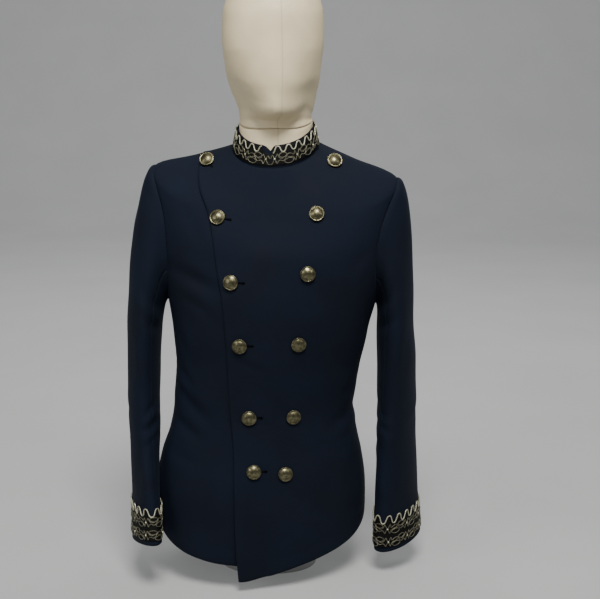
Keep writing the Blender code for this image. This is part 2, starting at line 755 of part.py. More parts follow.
def capped_stack(name, rings, tip, look):
    """A solid through rings from the bottom up, with a flat foot and a middle point on top."""
    count, sides = rings.shape[:2]
    foot = rings[0].mean(0)
    points = np.concatenate((rings.reshape(-1, 3), [foot, tip]))
    faces = []
    for i in range(count - 1):
        for k in range(sides):
            a, b = i * sides + k, i * sides + (k + 1) % sides
            faces += [(a, b, a + sides), (b, b + sides, a + sides)]
    for k in range(sides):
        n = (k + 1) % sides
        faces.append((n, k, count * sides))
        faces.append(((count - 1) * sides + k, (count - 1) * sides + n, count * sides + 1))
    return build_object(name, points, faces, look)


def form_angles(level):
    """All round the form, on the columns of the coat's panels."""
    stops = (0.0, under_angle(level), math.pi / 2, lap_angle(level), math.pi)
    front = spread(stops, (SIDE_COLUMNS, UNDER_COLUMNS, LAP_COLUMNS, SIDE_COLUMNS))
    return np.concatenate((front, np.linspace(math.pi, 2 * math.pi, 2 * BACK_COLUMNS + 1)[1:-1]))


def build_form(look):
    rings = [round_section(row, form_angles(LEVEL["hem"])) for row in FOOT_ROWS]
    stations = [LEVEL[name] for name in FORM_INSET]
    inside = [level for level in LEVELS if level >= LEVEL["hip"]]
    below = [level for level in inside if level < ARMHOLE_TOP]
    for level in below[::-3][::-1] + inside[len(below):]:
        angles = form_angles(level)
        inset = float(smooth_table(stations, list(FORM_INSET.values()), level))
        away = neckline_mitre(angles) if level == LEVELS[-1] else body_normal(level, angles)
        rings.append(smooth_point(level, angles) - inset * away)
    angles = form_angles(LEVEL["neckline"])
    away = -(CLOTH + NECK_CLEARANCE)
    for height in NECK_LEVELS:
        rings.append(collar_grid(angles, height, height + 0 * angles, away, 1)[0])
    joint = NECK_JOINT + NECK_JOINT_RISE * np.clip(np.sin(angles), 0, 1)**2
    rings.append(collar_grid(angles, joint[:, None], joint, away + NECK_FLARE, 1)[0])
    rings = np.array(rings)
    capped_stack("form_body", rings, rings[-1].mean(0), look)
    lowest = rings[-1] + np.array((0, 0, SEAM))
    head = np.array([lowest] + [round_section(row, angles) for row in HEAD_ROWS])
    for number, ring in enumerate(head[1:], 1):
        ring[:, 2] = np.maximum(ring[:, 2], lowest[:, 2] + HEAD_STEP * number)
    crown = head[-1].mean(0)
    crown[2] = HEAD_TOP
    capped_stack("form_head", head, crown, look)


def main():
    clear_scene()
    cloth = material("navy_wool", (0.012, 0.018, 0.035), 0.85)
    braid = material("braid", (0.02, 0.02, 0.02), 0.7)
    brass = material("antique_brass", (0.36, 0.31, 0.19), 0.35, 1.0)
    plaster = material("form_cream", (0.62, 0.56, 0.42), 0.6)
    front = build_body(cloth)
    for side in ("left", "right"):
        build_sleeve(side, cloth, braid)
    build_collar(cloth, braid)
    build_buttons(front, brass)
    build_form(plaster)


main()
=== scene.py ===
import json
import math

import bpy
import numpy as np
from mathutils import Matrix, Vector

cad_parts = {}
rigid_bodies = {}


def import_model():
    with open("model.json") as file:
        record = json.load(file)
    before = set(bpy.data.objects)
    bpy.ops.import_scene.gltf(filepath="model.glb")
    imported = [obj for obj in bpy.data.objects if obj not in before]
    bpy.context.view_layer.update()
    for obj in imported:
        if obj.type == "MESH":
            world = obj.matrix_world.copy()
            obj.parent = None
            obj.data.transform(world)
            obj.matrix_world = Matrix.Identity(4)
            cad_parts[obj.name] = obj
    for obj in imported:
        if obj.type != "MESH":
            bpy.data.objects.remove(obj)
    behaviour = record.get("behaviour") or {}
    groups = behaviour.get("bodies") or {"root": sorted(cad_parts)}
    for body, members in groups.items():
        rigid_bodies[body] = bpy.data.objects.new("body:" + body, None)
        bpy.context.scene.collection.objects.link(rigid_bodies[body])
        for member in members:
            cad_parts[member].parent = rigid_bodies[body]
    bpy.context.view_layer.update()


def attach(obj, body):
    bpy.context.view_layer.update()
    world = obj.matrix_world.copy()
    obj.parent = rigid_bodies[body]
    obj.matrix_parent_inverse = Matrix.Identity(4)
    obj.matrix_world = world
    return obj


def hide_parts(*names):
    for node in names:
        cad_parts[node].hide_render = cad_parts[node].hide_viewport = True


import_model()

# Measures are in mm until a mesh is made. Heights count from the side of the neckline, which is
# neckHeight above the floor. The front faces -Y, and the wearer's left is +X.
mm = 0.001
neckHeight = 748.0
clothWall = 2.0
seamGap = 0.3

# Camera: a little above the chest, looking 14 degrees down
view = {"lens": 65.88, "pitch": 14.0, "distance": 1.95, "target": (0.0, 0.0, 0.418),
        "shift": (0.045, 0.0708)}
tilt = math.radians(view["pitch"])
cameraData = bpy.data.cameras.new("camera")
cameraData.lens, cameraData.sensor_width = view["lens"], 36.0
cameraData.shift_x, cameraData.shift_y = view["shift"]
camera = bpy.data.objects.new("camera", cameraData)
camera.location = (view["target"][0], view["target"][1] - view["distance"] * math.cos(tilt),
                   view["target"][2] + view["distance"] * math.sin(tilt))
camera.rotation_euler = (math.pi / 2 - tilt, 0.0, 0.0)
bpy.context.scene.collection.objects.link(camera)
bpy.context.scene.camera = camera
print("camera placed")


class Wire:
    # One output of a node. The operators add Math nodes, and node() adds any other kind.
    def __init__(self, tree, output=None):
        self.tree, self.output = tree, output

    def node(self, kind, settings=None, inputs=(), output=0):
        made = self.tree.nodes.new(kind)
        for label, value in (settings or {}).items():
            if label == "stops":
                ramp = made.color_ramp
                while len(ramp.elements) < len(value):
                    ramp.elements.new(0.5)
                for element, (place, colour) in zip(ramp.elements, value):
                    element.position, element.color = place, (*colour, 1.0)
            else:
                setattr(made, label, value)
        pairs = inputs.items() if isinstance(inputs, dict) else enumerate(inputs)
        for label, value in pairs:
            joinWire(self.tree, value, made.inputs[label])
        return Wire(self.tree, made.outputs[output])

    def maths(self, operation, *values):
        return self.node("ShaderNodeMath", {"operation": operation}, values)

    def __add__(self, other):
        return self.maths("ADD", self, other)

    def __sub__(self, other):
        return self.maths("SUBTRACT", self, other)

    def __mul__(self, other):
        return self.maths("MULTIPLY", self, other)

    def __truediv__(self, other):
        return self.maths("DIVIDE", self, other)

    def __radd__(self, other):
        return self.maths("ADD", other, self)

    def __rsub__(self, other):
        return self.maths("SUBTRACT", other, self)

    def __rmul__(self, other):
        return self.maths("MULTIPLY", other, self)


def joinWire(tree, value, target):
    # Links a wire to a socket, or sets the socket to a plain value.
    if isinstance(value, Wire):
        tree.links.new(value.output, target)
    elif target.type == "RGBA" and len(value) == 3:
        target.default_value = (*value, 1.0)
    else:
        target.default_value = value


class Finish:
    # A material: plain values go on the shader's own sockets, and feed() links what varies.
    def __init__(self, name, **plain):
        self.material = bpy.data.materials.new(name)
        self.material.use_nodes = True
        self.tree = self.material.node_tree
        self.shader = self.tree.nodes["Principled BSDF"]
        self.wire = Wire(self.tree)
        for label, value in plain.items():
            joinWire(self.tree, value, self.shader.inputs[label.replace("_", " ")])

    def feed(self, **wires):
        for label, value in wires.items():
            joinWire(self.tree, value, self.shader.inputs[label.replace("_", " ")])

    def place(self, turn=0.0, own=True):
        # The piece's own map in metres, or Object coordinates, turned.
        if own:
            base = self.wire.node("ShaderNodeUVMap", {"uv_map": "cloth"})
        else:
            base = self.wire.node("ShaderNodeTexCoord", output="Object")
        return self.wire.node("ShaderNodeMapping", {}, {"Vector": base, "Rotation": (0.0, 0.0, turn)})

    def noise(self, place, scale, detail=3.0, roughness=0.5):
        return self.wire.node("ShaderNodeTexNoise", {}, {
            "Vector": place, "Scale": scale, "Detail": detail, "Roughness": roughness})

    def bands(self, place, scale, wobble=0.0):
        settings = {"wave_type": "BANDS", "bands_direction": "X"}
        return self.wire.node("ShaderNodeTexWave", settings, {
            "Vector": place, "Scale": scale, "Distortion": wobble, "Detail": 1.0}, output="Fac")

    def ramp(self, value, *stops):
        return self.wire.node("ShaderNodeValToRGB", {"stops": stops}, (value,))

    def grey(self, value, *stops):
        return self.ramp(value, *((place, (tone,) * 3) for place, tone in stops))

    def mixed(self, share, first, second):
        inputs = {0: share, 6: first, 7: second}
        return self.wire.node("ShaderNodeMix", {"data_type": "RGBA"}, inputs, output=2)

    def bump(self, height, strength, distance, under=None):
        inputs = {"Height": height, "Strength": strength, "Distance": distance}
        if under is not None:
            inputs["Normal"] = under
        return self.wire.node("ShaderNodeBump", {}, inputs)


def unit(vectors):
    # Each vector over its own length.
    return vectors / np.linalg.norm(vectors, axis=-1, keepdims=True)


def blend(t):
    # 0 to 1 with level ends: 3 t squared less 2 t cubed.
    t = np.clip(t, 0.0, 1.0)
    return t * t * (3 - 2 * t)


def gridFaces(rows, columns, closed=False):
    # Four corners of each cell, the columns joined round where closed.
    i = np.arange(rows - 1)[:, None]
    j = np.arange(columns if closed else columns - 1)[None, :]
    n = (j + 1) % columns
    corners = (i * columns + j, i * columns + n, (i + 1) * columns + n, (i + 1) * columns + j)
    return np.stack(np.broadcast_arrays(*corners), -1).reshape(-1, 4)


def runLength(grid, axis):
    # Distance along the grid's lines, from 0 at its first row or column.
    steps = np.linalg.norm(np.diff(grid, axis=axis), axis=-1)
    pad = [(0, 0)] * steps.ndim
    pad[axis] = (1, 0)
    return np.pad(np.cumsum(steps, axis=axis), pad)


def makePiece(name, points, faces, finish, uv=None, triangles=None):
    # A mesh from points in mm, its four-cornered faces, and any three-cornered ones.
    data = bpy.data.meshes.new(name)
    points = (np.asarray(points, float) + (0.0, 0.0, neckHeight)) * mm
    corners = np.asarray(faces, np.int32).ravel()
    starts = np.arange(0, len(corners), 4, dtype=np.int32)
    totals = np.full(len(starts), 4, np.int32)
    if triangles is not None:
        extra = np.asarray(triangles, np.int32).ravel()
        more = np.arange(len(corners), len(corners) + len(extra), 3, dtype=np.int32)
        corners, starts = np.concatenate((corners, extra)), np.concatenate((starts, more))
        totals = np.concatenate((totals, np.full(len(more), 3, np.int32)))
    data.vertices.add(len(points))
    data.vertices.foreach_set("co", points.ravel())
    data.loops.add(len(corners))
    data.loops.foreach_set("vertex_index", corners)
    data.polygons.add(len(starts))
    data.polygons.foreach_set("loop_start", starts)
    data.polygons.foreach_set("loop_total", totals)
    data.polygons.foreach_set("use_smooth", np.ones(len(starts), bool))
    if uv is not None:
        layer = data.uv_layers.new(name="cloth")
        layer.data.foreach_set("uv", np.asarray(uv, float)[corners].ravel())
    data.update(calc_edges=True)
    data.materials.append(finish.material)
    made = bpy.data.objects.new(name, data)
    bpy.context.scene.collection.objects.link(made)
    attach(made, "root")
    return made


def clothPiece(name, outer, inner, finish, slot="wool", closed=False):
    # A wall between an outer and an inner grid. Its edges bulge out by half the wall, as a
    # turned-in edge does, and its map is the distance along and up the cloth in metres.
    rows, columns = outer.shape[:2]
    size = rows * columns
    index = np.arange(size).reshape(rows, columns)
    middle = (outer + inner) / 2
    out = np.zeros_like(middle)
    out[0] += unit(middle[0] - middle[1])
    out[-1] += unit(middle[-1] - middle[-2])
    if closed:
        loops = [index[0], index[-1][::-1]]
    else:
        out[:, 0] += unit(middle[:, 0] - middle[:, 1])
        out[:, -1] += unit(middle[:, -1] - middle[:, -2])
        loops = [np.concatenate((index[0], index[1:, -1], index[-1, -2::-1], index[-2:0:-1, 0]))]
    rim = np.concatenate(loops)
    flat = middle.reshape(-1, 3)[rim]
    reach = np.linalg.norm((outer - inner).reshape(-1, 3)[rim], axis=-1, keepdims=True)
    bulge = flat + 0.42 * reach * out.reshape(-1, 3)[rim]
    face = gridFaces(rows, columns, closed)
    faces, start = [face, face[:, ::-1] + size], 2 * size
    for loop in loops:
        following = np.roll(loop, -1)
        own = start + np.arange(len(loop))
        ahead = np.roll(own, -1)
        faces.append(np.stack((following, loop, own, ahead), -1))
        faces.append(np.stack((ahead, own, loop + size, following + size), -1))
        start += len(loop)
    faces = np.concatenate(faces)
    row, column = rows // 2, columns // 2
    corner = outer[row, column]
    facing = np.cross(outer[row, column + 1] - corner, outer[row + 1, column] - corner)
    if facing @ (corner - inner[row, column]) < 0:
        faces = faces[:, ::-1]
    across, up = runLength(outer, 1), runLength(outer, 0)
    uv = np.stack((across - across[:, column, None], up), -1).reshape(-1, 2) * mm
    points = np.concatenate((outer.reshape(-1, 3), inner.reshape(-1, 3), bulge))
    return makePiece(name, points, faces, finish, np.concatenate((uv, uv, uv[rim])))


def cordPiece(name, paths, normals, radius, finish, slot, sides=6, closed=True):
    # Round cords along several paths of one length: each point is the path's own plus a circle
    # in the plane across it.
    paths, normals = np.asarray(paths, float), np.asarray(normals, float)
    if closed:
        tangent = unit(np.roll(paths, -1, 1) - np.roll(paths, 1, 1))
    else:
        tangent = unit(np.gradient(paths, axis=1))
    away = unit(normals - np.sum(normals * tangent, -1, keepdims=True) * tangent)
    side = np.cross(tangent, away)
    turn = np.arange(sides) * 2 * math.pi / sides
    ring = paths[:, :, None] + radius * (np.cos(turn)[:, None] * side[:, :, None]
                                         + np.sin(turn)[:, None] * away[:, :, None])
    count, length = paths.shape[:2]
    i = np.arange(length if closed else length - 1)[:, None]
    j = np.arange(sides)[None]
    n, k = (i + 1) % length, (j + 1) % sides
    face = np.stack(np.broadcast_arrays(i * sides + j, i * sides + k, n * sides + k,
                                        n * sides + j), -1).reshape(-1, 4)
    if not closed:
        ends = np.array([[0, 3, 2, 1], [0, 5, 4, 3]])
        face = np.concatenate((face, ends, (ends + (length - 1) * sides)[:, ::-1]))
    faces = (face[None] + (np.arange(count) * length * sides)[:, None, None]).reshape(-1, 4)
    along = np.broadcast_to(runLength(paths, 1)[:, :, None] * mm, ring.shape[:3])
    around = np.broadcast_to(turn / (2 * math.pi) * 0.006, ring.shape[:3])
    uv = np.stack((along, around), -1).reshape(-1, 2)
    return makePiece(name, ring.reshape(-1, 3), faces[:, ::-1], finish, uv)


def turnedPiece(name, centres, axes, profile, sides, finish, slot):
    # One turned shape at many places: (radius, height) pairs swept round each axis.
    centres, axes = np.asarray(centres, float), unit(np.asarray(axes, float))
    side = unit(np.cross(axes, (0.0, 0.0, 1.0)))
    up = np.cross(side, axes)
    profile = np.asarray(profile, float)
    turn = np.arange(sides) * 2 * math.pi / sides
    spoke = np.cos(turn)[:, None] * side[:, None] + np.sin(turn)[:, None] * up[:, None]
    ring = (centres[:, None, None] + profile[:, 0][:, None, None] * spoke[:, None]
            + profile[:, 1][:, None, None] * axes[:, None, None])
    face = gridFaces(len(profile), sides, closed=True)
    size = len(profile) * sides
    faces = (face[None] + (np.arange(len(centres)) * size)[:, None, None]).reshape(-1, 4)
    swept = np.stack(np.broadcast_arrays(turn / (2 * math.pi) * 0.08, profile[:, 1][:, None] * mm), -1)
    uv = np.tile(swept.reshape(-1, 2), (len(centres), 1))
    return makePiece(name, ring.reshape(-1, 3), faces, finish, uv)


# Wool: a steep twill on the cloth's own map, darker in its furrows, over soft cloudy shade and
# a little paler nap. The colours are what stands in daylight.
wool = {"shade": (0.0014, 0.0033, 0.0092), "lit": (0.0030, 0.0064, 0.0168),
        "furrow": (0.003, 0.0045, 0.009), "nap": (0.006, 0.010, 0.020), "ribs": 150.0, "steep": 1.08}
woolFinish = Finish("navy_wool_twill", Roughness=0.82, Specular_IOR_Level=0.15, Sheen_Weight=0.03,
                    Sheen_Roughness=0.4, Sheen_Tint=(0.20, 0.28, 0.42, 1.0))
ribs = woolFinish.bands(woolFinish.place(turn=wool["steep"]), wool["ribs"], 0.6)
picks = woolFinish.bands(woolFinish.place(turn=wool["steep"] - math.pi / 2), wool["ribs"] * 1.6, 0.8)
cloud = woolFinish.noise(woolFinish.place(own=False), 9.0, 5.0, 0.55)
fuzz = woolFinish.noise(woolFinish.place(own=False), 900.0, 4.0, 0.7)
weave = ribs * 0.7 + picks * 0.3
tone = woolFinish.ramp(cloud, (0.32, wool["shade"]), (0.72, wool["lit"]))
tone = woolFinish.mixed(woolFinish.grey(weave, (0.1, 0.42), (0.65, 0.0)), tone, wool["furrow"])
napped = woolFinish.grey(fuzz, (0.60, 0.0), (0.80, 0.28))
tone = woolFinish.mixed(napped, tone, wool["nap"])
rough = woolFinish.grey(cloud, (0.3, 0.74), (0.7, 0.88))
woolFinish.feed(Base_Color=tone, Roughness=rough)
lump = woolFinish.bump(woolFinish.noise(woolFinish.place(own=False), 60.0, 3.0), 0.25, 0.0006)
woolFinish.feed(Normal=woolFinish.bump(weave + fuzz * 0.5, 0.55, 0.00022, lump))

# The band under the braid: black ribbed silk, its ribs up the band.
ground = {"groove": (0.0010, 0.0010, 0.0012), "rib": (0.0034, 0.0034, 0.0032),
          "dust": (0.010, 0.011, 0.008), "ribs": 260.0}
groundFinish = Finish("black_ribbed_band", Roughness=0.7, Specular_IOR_Level=0.12)
rib = groundFinish.bands(groundFinish.place(), ground["ribs"], 0.2)
dust = groundFinish.noise(groundFinish.place(own=False), 240.0, 4.0)
black = groundFinish.ramp(rib, (0.0, ground["groove"]), (1.0, ground["rib"]))
groundFinish.feed(Base_Color=groundFinish.mixed(dust * 0.18, black, ground["dust"]),
                  Roughness=groundFinish.grey(dust, (0.3, 0.62), (0.7, 0.8)),
                  Normal=groundFinish.bump(rib, 0.5, 0.0002))


def cordFinish(name, pale, dull, metallic, twist, gloss=0.5):
    # A plied metal cord: bands aslant its map for the plies, dulled in between and in patches.
    made = Finish(name, Metallic=metallic, Roughness=0.4, Specular_IOR_Level=gloss)
    plies = made.bands(made.place(turn=0.9), twist, 0.1)
    worn = made.noise(made.place(own=False), 160.0, 4.0, 0.6)
    colour = made.ramp(plies, (0.05, dull), (0.6, pale))
    colour = made.mixed(made.grey(worn, (0.45, 0.0), (0.75, 0.6)), colour, dull)
    made.feed(Base_Color=colour, Roughness=made.grey(worn, (0.3, 0.3), (0.75, 0.6)),
              Normal=made.bump(plies, 0.8, 0.0003))
    return made


waveFinish = cordFinish("pale_gilt_cord", (0.56, 0.55, 0.42), (0.17, 0.162, 0.12), 0.5, 170.0)
thinFinish = cordFinish("fine_gilt_cord", (0.225, 0.217, 0.152), (0.05, 0.048, 0.034), 0.5, 260.0)
beadFinish = Finish("gilt_bead", Metallic=0.85, Roughness=0.3)
speck = beadFinish.noise(beadFinish.place(own=False), 500.0, 3.0)
gilt = beadFinish.ramp(speck, (0.35, (0.34, 0.31, 0.20)), (0.65, (0.70, 0.67, 0.48)))
beadFinish.feed(Base_Color=gilt, Roughness=beadFinish.grey(speck, (0.3, 0.2), (0.7, 0.45)))

# Antique brass: bright where hands rub it, brown-black where polish never reaches.
brass = {"dull": (0.055, 0.050, 0.027), "plain": (0.15, 0.140, 0.080), "rubbed": (0.31, 0.285, 0.175),
         "grime": (0.05, 0.043, 0.03)}
brassFinish = Finish("antique_brass", Metallic=1.0, Roughness=0.35)
patch = brassFinish.noise(brassFinish.place(own=False), 210.0, 6.0, 0.65)
grain = brassFinish.noise(brassFinish.place(own=False), 1400.0, 2.0)
height = brassFinish.wire.node("ShaderNodeSeparateXYZ", {}, (brassFinish.place(),), output="Y")
worn = brassFinish.ramp(patch, (0.33, brass["dull"]), (0.52, brass["plain"]), (0.74, brass["rubbed"]))
hollow = brassFinish.grey(height * 1000.0 / 7.0, (0.30, 0.8), (0.52, 0.12))
brassFinish.feed(Base_Color=brassFinish.mixed(hollow, worn, brass["grime"]),
                 Roughness=brassFinish.grey(patch, (0.3, 0.52), (0.7, 0.26)),
                 Normal=brassFinish.bump(patch + grain * 0.3, 0.35, 0.0002))

# The form: cream paint over a smooth shell, with a fine centre seam and small dull patches.
paint = {"shade": (0.60, 0.50, 0.325), "lit": (0.71, 0.60, 0.40), "speck": (0.40, 0.35, 0.25),
         "seam": (0.30, 0.26, 0.18), "foot": (0.34, 0.345, 0.34)}
formFinish = Finish("cream_painted_form", Roughness=0.55, Coat_Weight=0.06, Coat_Roughness=0.4)
at = formFinish.place(own=False)
mottle = formFinish.noise(at, 14.0, 5.0, 0.6)
fine = formFinish.noise(at, 420.0, 3.0, 0.6)
x = formFinish.wire.node("ShaderNodeSeparateXYZ", {}, (at,), output="X")
y = formFinish.wire.node("ShaderNodeSeparateXYZ", {}, (at,), output="Y")
across = x * 0.985 + y * 0.17
fromSeam = formFinish.wire.maths("ABSOLUTE", across)
line = formFinish.grey(fromSeam * 260.0, (0.10, 1.0), (0.42, 0.0))
cream = formFinish.ramp(mottle, (0.3, paint["shade"]), (0.7, paint["lit"]))
cream = formFinish.mixed(formFinish.grey(fine, (0.62, 0.0), (0.8, 0.35)), cream, paint["speck"])
cream = formFinish.mixed(line * 0.30, cream, paint["seam"])
z = formFinish.wire.node("ShaderNodeSeparateXYZ", {}, (at,), output="Z")
onFoot = formFinish.grey(z, (0.13, 1.0), (0.14, 0.0))  # the foot is plain grey
cream = formFinish.mixed(onFoot, cream, paint["foot"])
orangePeel = formFinish.bump(fine, 0.12, 0.0002)
formFinish.feed(Base_Color=cream, Roughness=formFinish.grey(mottle, (0.3, 0.46), (0.7, 0.62)),
                Normal=formFinish.bump(line * -1.0 + mottle * 0.3, 0.5, 0.0004, orangePeel))

# Buttonholes: twisted thread, nearly black, round a slit. The slit is a near-black sheet laid on the
# cloth: painted shade for the opening, and the noise on it only varies that painted shade.
threadFinish = cordFinish("black_twist_thread", (0.0022, 0.0032, 0.0065), (0.0008, 0.0012, 0.0024),
                          0.0, 900.0, 0.1)
slitShadeFinish = Finish("buttonhole_slit", Roughness=0.9, Specular_IOR_Level=0.05)
slitShadeMottle = slitShadeFinish.noise(slitShadeFinish.place(own=False), 300.0)
slitShadeFinish.feed(Base_Color=slitShadeFinish.ramp(slitShadeMottle, (0.3, (0.0004, 0.0004, 0.0006)),
                                           (0.7, (0.0009, 0.0009, 0.0014))))
print("finishes mixed")


# The coat's pattern
# Sections of the coat's body from hem to neckline: the height at the side, the centre front and
# the centre back, the half width, the depth to the front and to the back, how square the section
# is, its shift sideways and backwards, its turn to the wearer's left and its rise towards it.
bodyColumns = ("sideZ", "frontZ", "backZ", "halfWidth", "frontDepth", "backDepth", "power",
               "sway", "lean", "turn", "tilt")
bodyRows = {
    "hem":       (-640, -719, -652, 191, 128, 134, 2.30, -22, 0, 8.0, 0.00),
    "skirt":     (-585, -642, -592, 190, 126, 132, 2.30, -21, 0, 8.0, 0.00),
    "hip":       (-530, -562, -534, 181, 120, 126, 2.30, -20, 0, 8.0, 0.00),
    "lowWaist":  (-480, -497, -480, 168, 112, 114, 2.25, -17, 0, 7.5, 0.00),
    "waist":     (-432, -438, -430, 161, 108, 106, 2.20, -15, 0, 7.0, 0.00),
    "ribs":      (-370, -368, -366, 163, 113, 108, 2.25, -9, 0, 5.0, 0.00),
    "sideChest": (-310, -304, -304, 171, 120, 112, 2.30, -4, 0, 2.5, 0.00),
    "armpit":    (-255, -247, -246, 180, 124, 115, 2.35, -2, 0, 0.0, -0.02),
    "armMiddle": (-145, -166, -154, 198, 120, 113, 2.40, 1, 2, -4.0, -0.04),
    "shoulder":  (-34, -100, -56, 210, 100, 98, 2.40, 4, 6, -5.0, -0.045),
    "yoke":      (-6, -56, 0, 138, 84, 78, 2.20, 4, 9, -7.0, -0.02),
    "neckline":  (9, -20, 36, 73, 70, 64, 2.05, 5, 10, -8.0, 0.01),
}
riseSoftness = 0.25
armhole = {"front": 20.0, "back": 22.0, "shoulderRound": 12.0}
# The lap's edge, and the right front's under it, by their distance from the centre front.
lap = {"edge": (55, 61, 62.5, 64, 69, 75.5, 78.5, 80, 88, 104, 125, 126), "under": 56.0,
       "blend": 60.0, "lift": 4.0, "liftTop": 240.0, "roll": 1.1, "cornerDrop": 10.0,
       "hemRise": 17.0, "underRise": 17.0, "shoulderStop": 3.0}
seam = {"dip": 0.9, "width": 2.4, "ripple": 0.28, "puckerReach": 9.0}


def smoothTable(stations, values, at):
    # Cubic pieces between table rows, with weighted harmonic slopes, so no row is overshot.
    stations, values = np.asarray(stations, float), np.asarray(values, float)
    at = np.clip(np.asarray(at, float), stations[0], stations[-1])
    step = np.diff(stations)
    slope = np.diff(values) / step
    before, after = slope[:-1], slope[1:]
    first, second = 2 * step[1:] + step[:-1], step[1:] + 2 * step[:-1]
    with np.errstate(divide="ignore", invalid="ignore"):
        mean = (first + second) / (first / before + second / after)
    tangent = np.concatenate((slope[:1], np.where(before * after > 0, mean, 0.0), slope[-1:]))
    row = np.clip(np.searchsorted(stations, at, side="right") - 1, 0, len(step) - 1)
    t = (at - stations[row]) / step[row]
    rise = 3 * t**2 - 2 * t**3
    return (values[row] * (1 - rise) + values[row + 1] * rise
            + step[row] * (tangent[row] * (t**3 - 2 * t**2 + t) + tangent[row + 1] * (t**3 - t**2)))


sideLine = np.array([(row[3], row[0]) for row in bodyRows.values()], float)
stations = np.concatenate(([0.0], np.cumsum(np.hypot(*np.diff(sideLine, axis=0).T))))
levelOf = dict(zip(bodyRows, stations))
topLevel = stations[-1]
armholeTop = levelOf["shoulder"] + armhole["shoulderRound"]
armholeMiddle = (levelOf["armpit"] + armholeTop) / 2
armholeHalf = (armholeTop - levelOf["armpit"]) / 2
bodyTable = {name: [row[i] for row in bodyRows.values()] for i, name in enumerate(bodyColumns)}
quarter = math.pi / 2


def body(name, level):
    # One column of the table at any distance up the side.
    return smoothTable(stations, bodyTable[name], level)


def smoothPoint(level, angle):
    # A superellipse section, its radius ((cos / width)^p + (sin / depth)^p)^(-1/p), raised
    # between side and front by a rounded ramp, turned and shifted. Angle 0 is the left side and
    # 90 degrees the centre front.
    level, angle = np.broadcast_arrays(np.asarray(level, float), np.asarray(angle, float))
    cosine, sine = np.cos(angle), np.sin(angle)
    front = sine >= 0
    depth = np.where(front, body("frontDepth", level), body("backDepth", level))
    power = body("power", level)
    radius = ((np.abs(cosine) / body("halfWidth", level))**power
              + (np.abs(sine) / depth)**power)**(-1 / power)
    x, y = radius * cosine, -radius * sine
    sideZ = body("sideZ", level)
    endZ = np.where(front, body("frontZ", level), body("backZ", level))
    reach = np.abs(y) / depth
    rise = np.sqrt(reach**2 + riseSoftness**2) - riseSoftness
    rise = rise / (math.sqrt(1 + riseSoftness**2) - riseSoftness)
    z = sideZ + (endZ - sideZ) * rise + body("tilt", level) * x
    turn = np.radians(body("turn", level))
    return np.stack((x * np.cos(turn) - y * np.sin(turn) + body("sway", level),
                     x * np.sin(turn) + y * np.cos(turn) + body("lean", level), z), -1)


def bodyNormal(level, angle):
    # The cross product of the surface's steps up and along, over 18 mm and about 2 mm.
    level = np.asarray(level, float)
    top = np.minimum(np.maximum(level, 0) + 9.0, topLevel)
    low = np.maximum(top - 18.0, 0.0)
    up = smoothPoint(top, angle) - smoothPoint(low, angle)
    along = smoothPoint(level, angle + 0.008) - smoothPoint(level, angle - 0.008)
    return unit(np.cross(up, along))


# Creases of the body: x and z of the two ends in the front or back view, how far the line bows,
# its half width and depth, and the share of the depth that stands up beside it as a ridge.
frontCreases = {
    "armholeDrag":   (-172, -185, -92, -215, 0, 13, 4.0, 0.15),
    "waistDrag":     (-172, -395, -120, -440, 0, 12, 3.5, 0.3),
    "waistDrag2":    (-170, -455, -128, -478, 0, 11, 3.0, 0.3),
    "leftDrag":      (150, -440, 105, -462, 0, 12, 3.0, 0.3),
    "chestDrag":     (-158, -232, -104, -262, 4, 9, 1.2, 0.4),
    "armpitTuck":    (-168, -262, -150, -330, -5, 9, 1.8, 0.4),
    "waistPinch":    (-164, -360, -140, -398, 4, 8, 1.6, 0.5),
    "hipDrag":       (-178, -506, -132, -520, -4, 10, 1.3, 0.4),
    "leftPinch":     (142, -392, 118, -428, -4, 8, 1.5, 0.5),
    "leftDrag2":     (148, -478, 122, -488, 2, 8, 1.2, 0.4),
    "leftArmpit":    (166, -250, 158, -318, 4, 9, 1.6, 0.4),
    "leftArmhole":   (164, -150, 128, -196, -6, 11, 1.4, 0.3),
    "shoulderFront": (-150, -92, -118, -150, 5, 12, 1.1, 0.3),
    "lapPull":       (-60, -330, -18, -352, -3, 8, 0.9, 0.5),
    "lapPull2":      (-52, -442, -10, -452, 3, 9, 0.8, 0.5),
    "skirtFlute":    (-116, -560, -128, -690, 5, 15, 1.8, 0.4),
    "skirtFlute2":   (92, -548, 104, -668, -5, 16, 1.6, 0.4),
}
backCreases = {
    "backWaist":     (-90, -436, 70, -428, 0, 16, 4.0, 0.25),
    "backDrag":      (150, -395, 95, -425, 0, 12, 3.0, 0.3),
    "backDrag2":     (-160, -404, -104, -432, 4, 11, 2.2, 0.4),
    "backFold":      (-118, -402, 26, -398, -5, 10, 1.8, 0.5),
    "backFold2":     (38, -452, 130, -462, 4, 11, 1.6, 0.4),
    "bladeLeft":     (128, -150, 88, -262, 10, 15, 1.9, 0.3),
    "bladeRight":    (-132, -142, -96, -246, -9, 14, 2.1, 0.3),
    "backNeck":      (-46, -28, 40, -34, -6, 9, 1.3, 0.4),
    "backFlute":     (-70, -508, -84, -640, 5, 16, 2.2, 0.4),
    "backFlute2":    (52, -516, 70, -644, -6, 15, 2.0, 0.4),
    "sideFlute":     (-158, -500, -168, -628, 3, 13, 1.7, 0.4),
    "sideFlute2":    (140, -496, 152, -630, -4, 13, 1.8, 0.4),
    "backArmpit":    (-170, -236, -142, -300, 5, 10, 1.9, 0.4),
    "backArmpit2":   (168, -240, 138, -296, -6, 10, 1.7, 0.4),
}


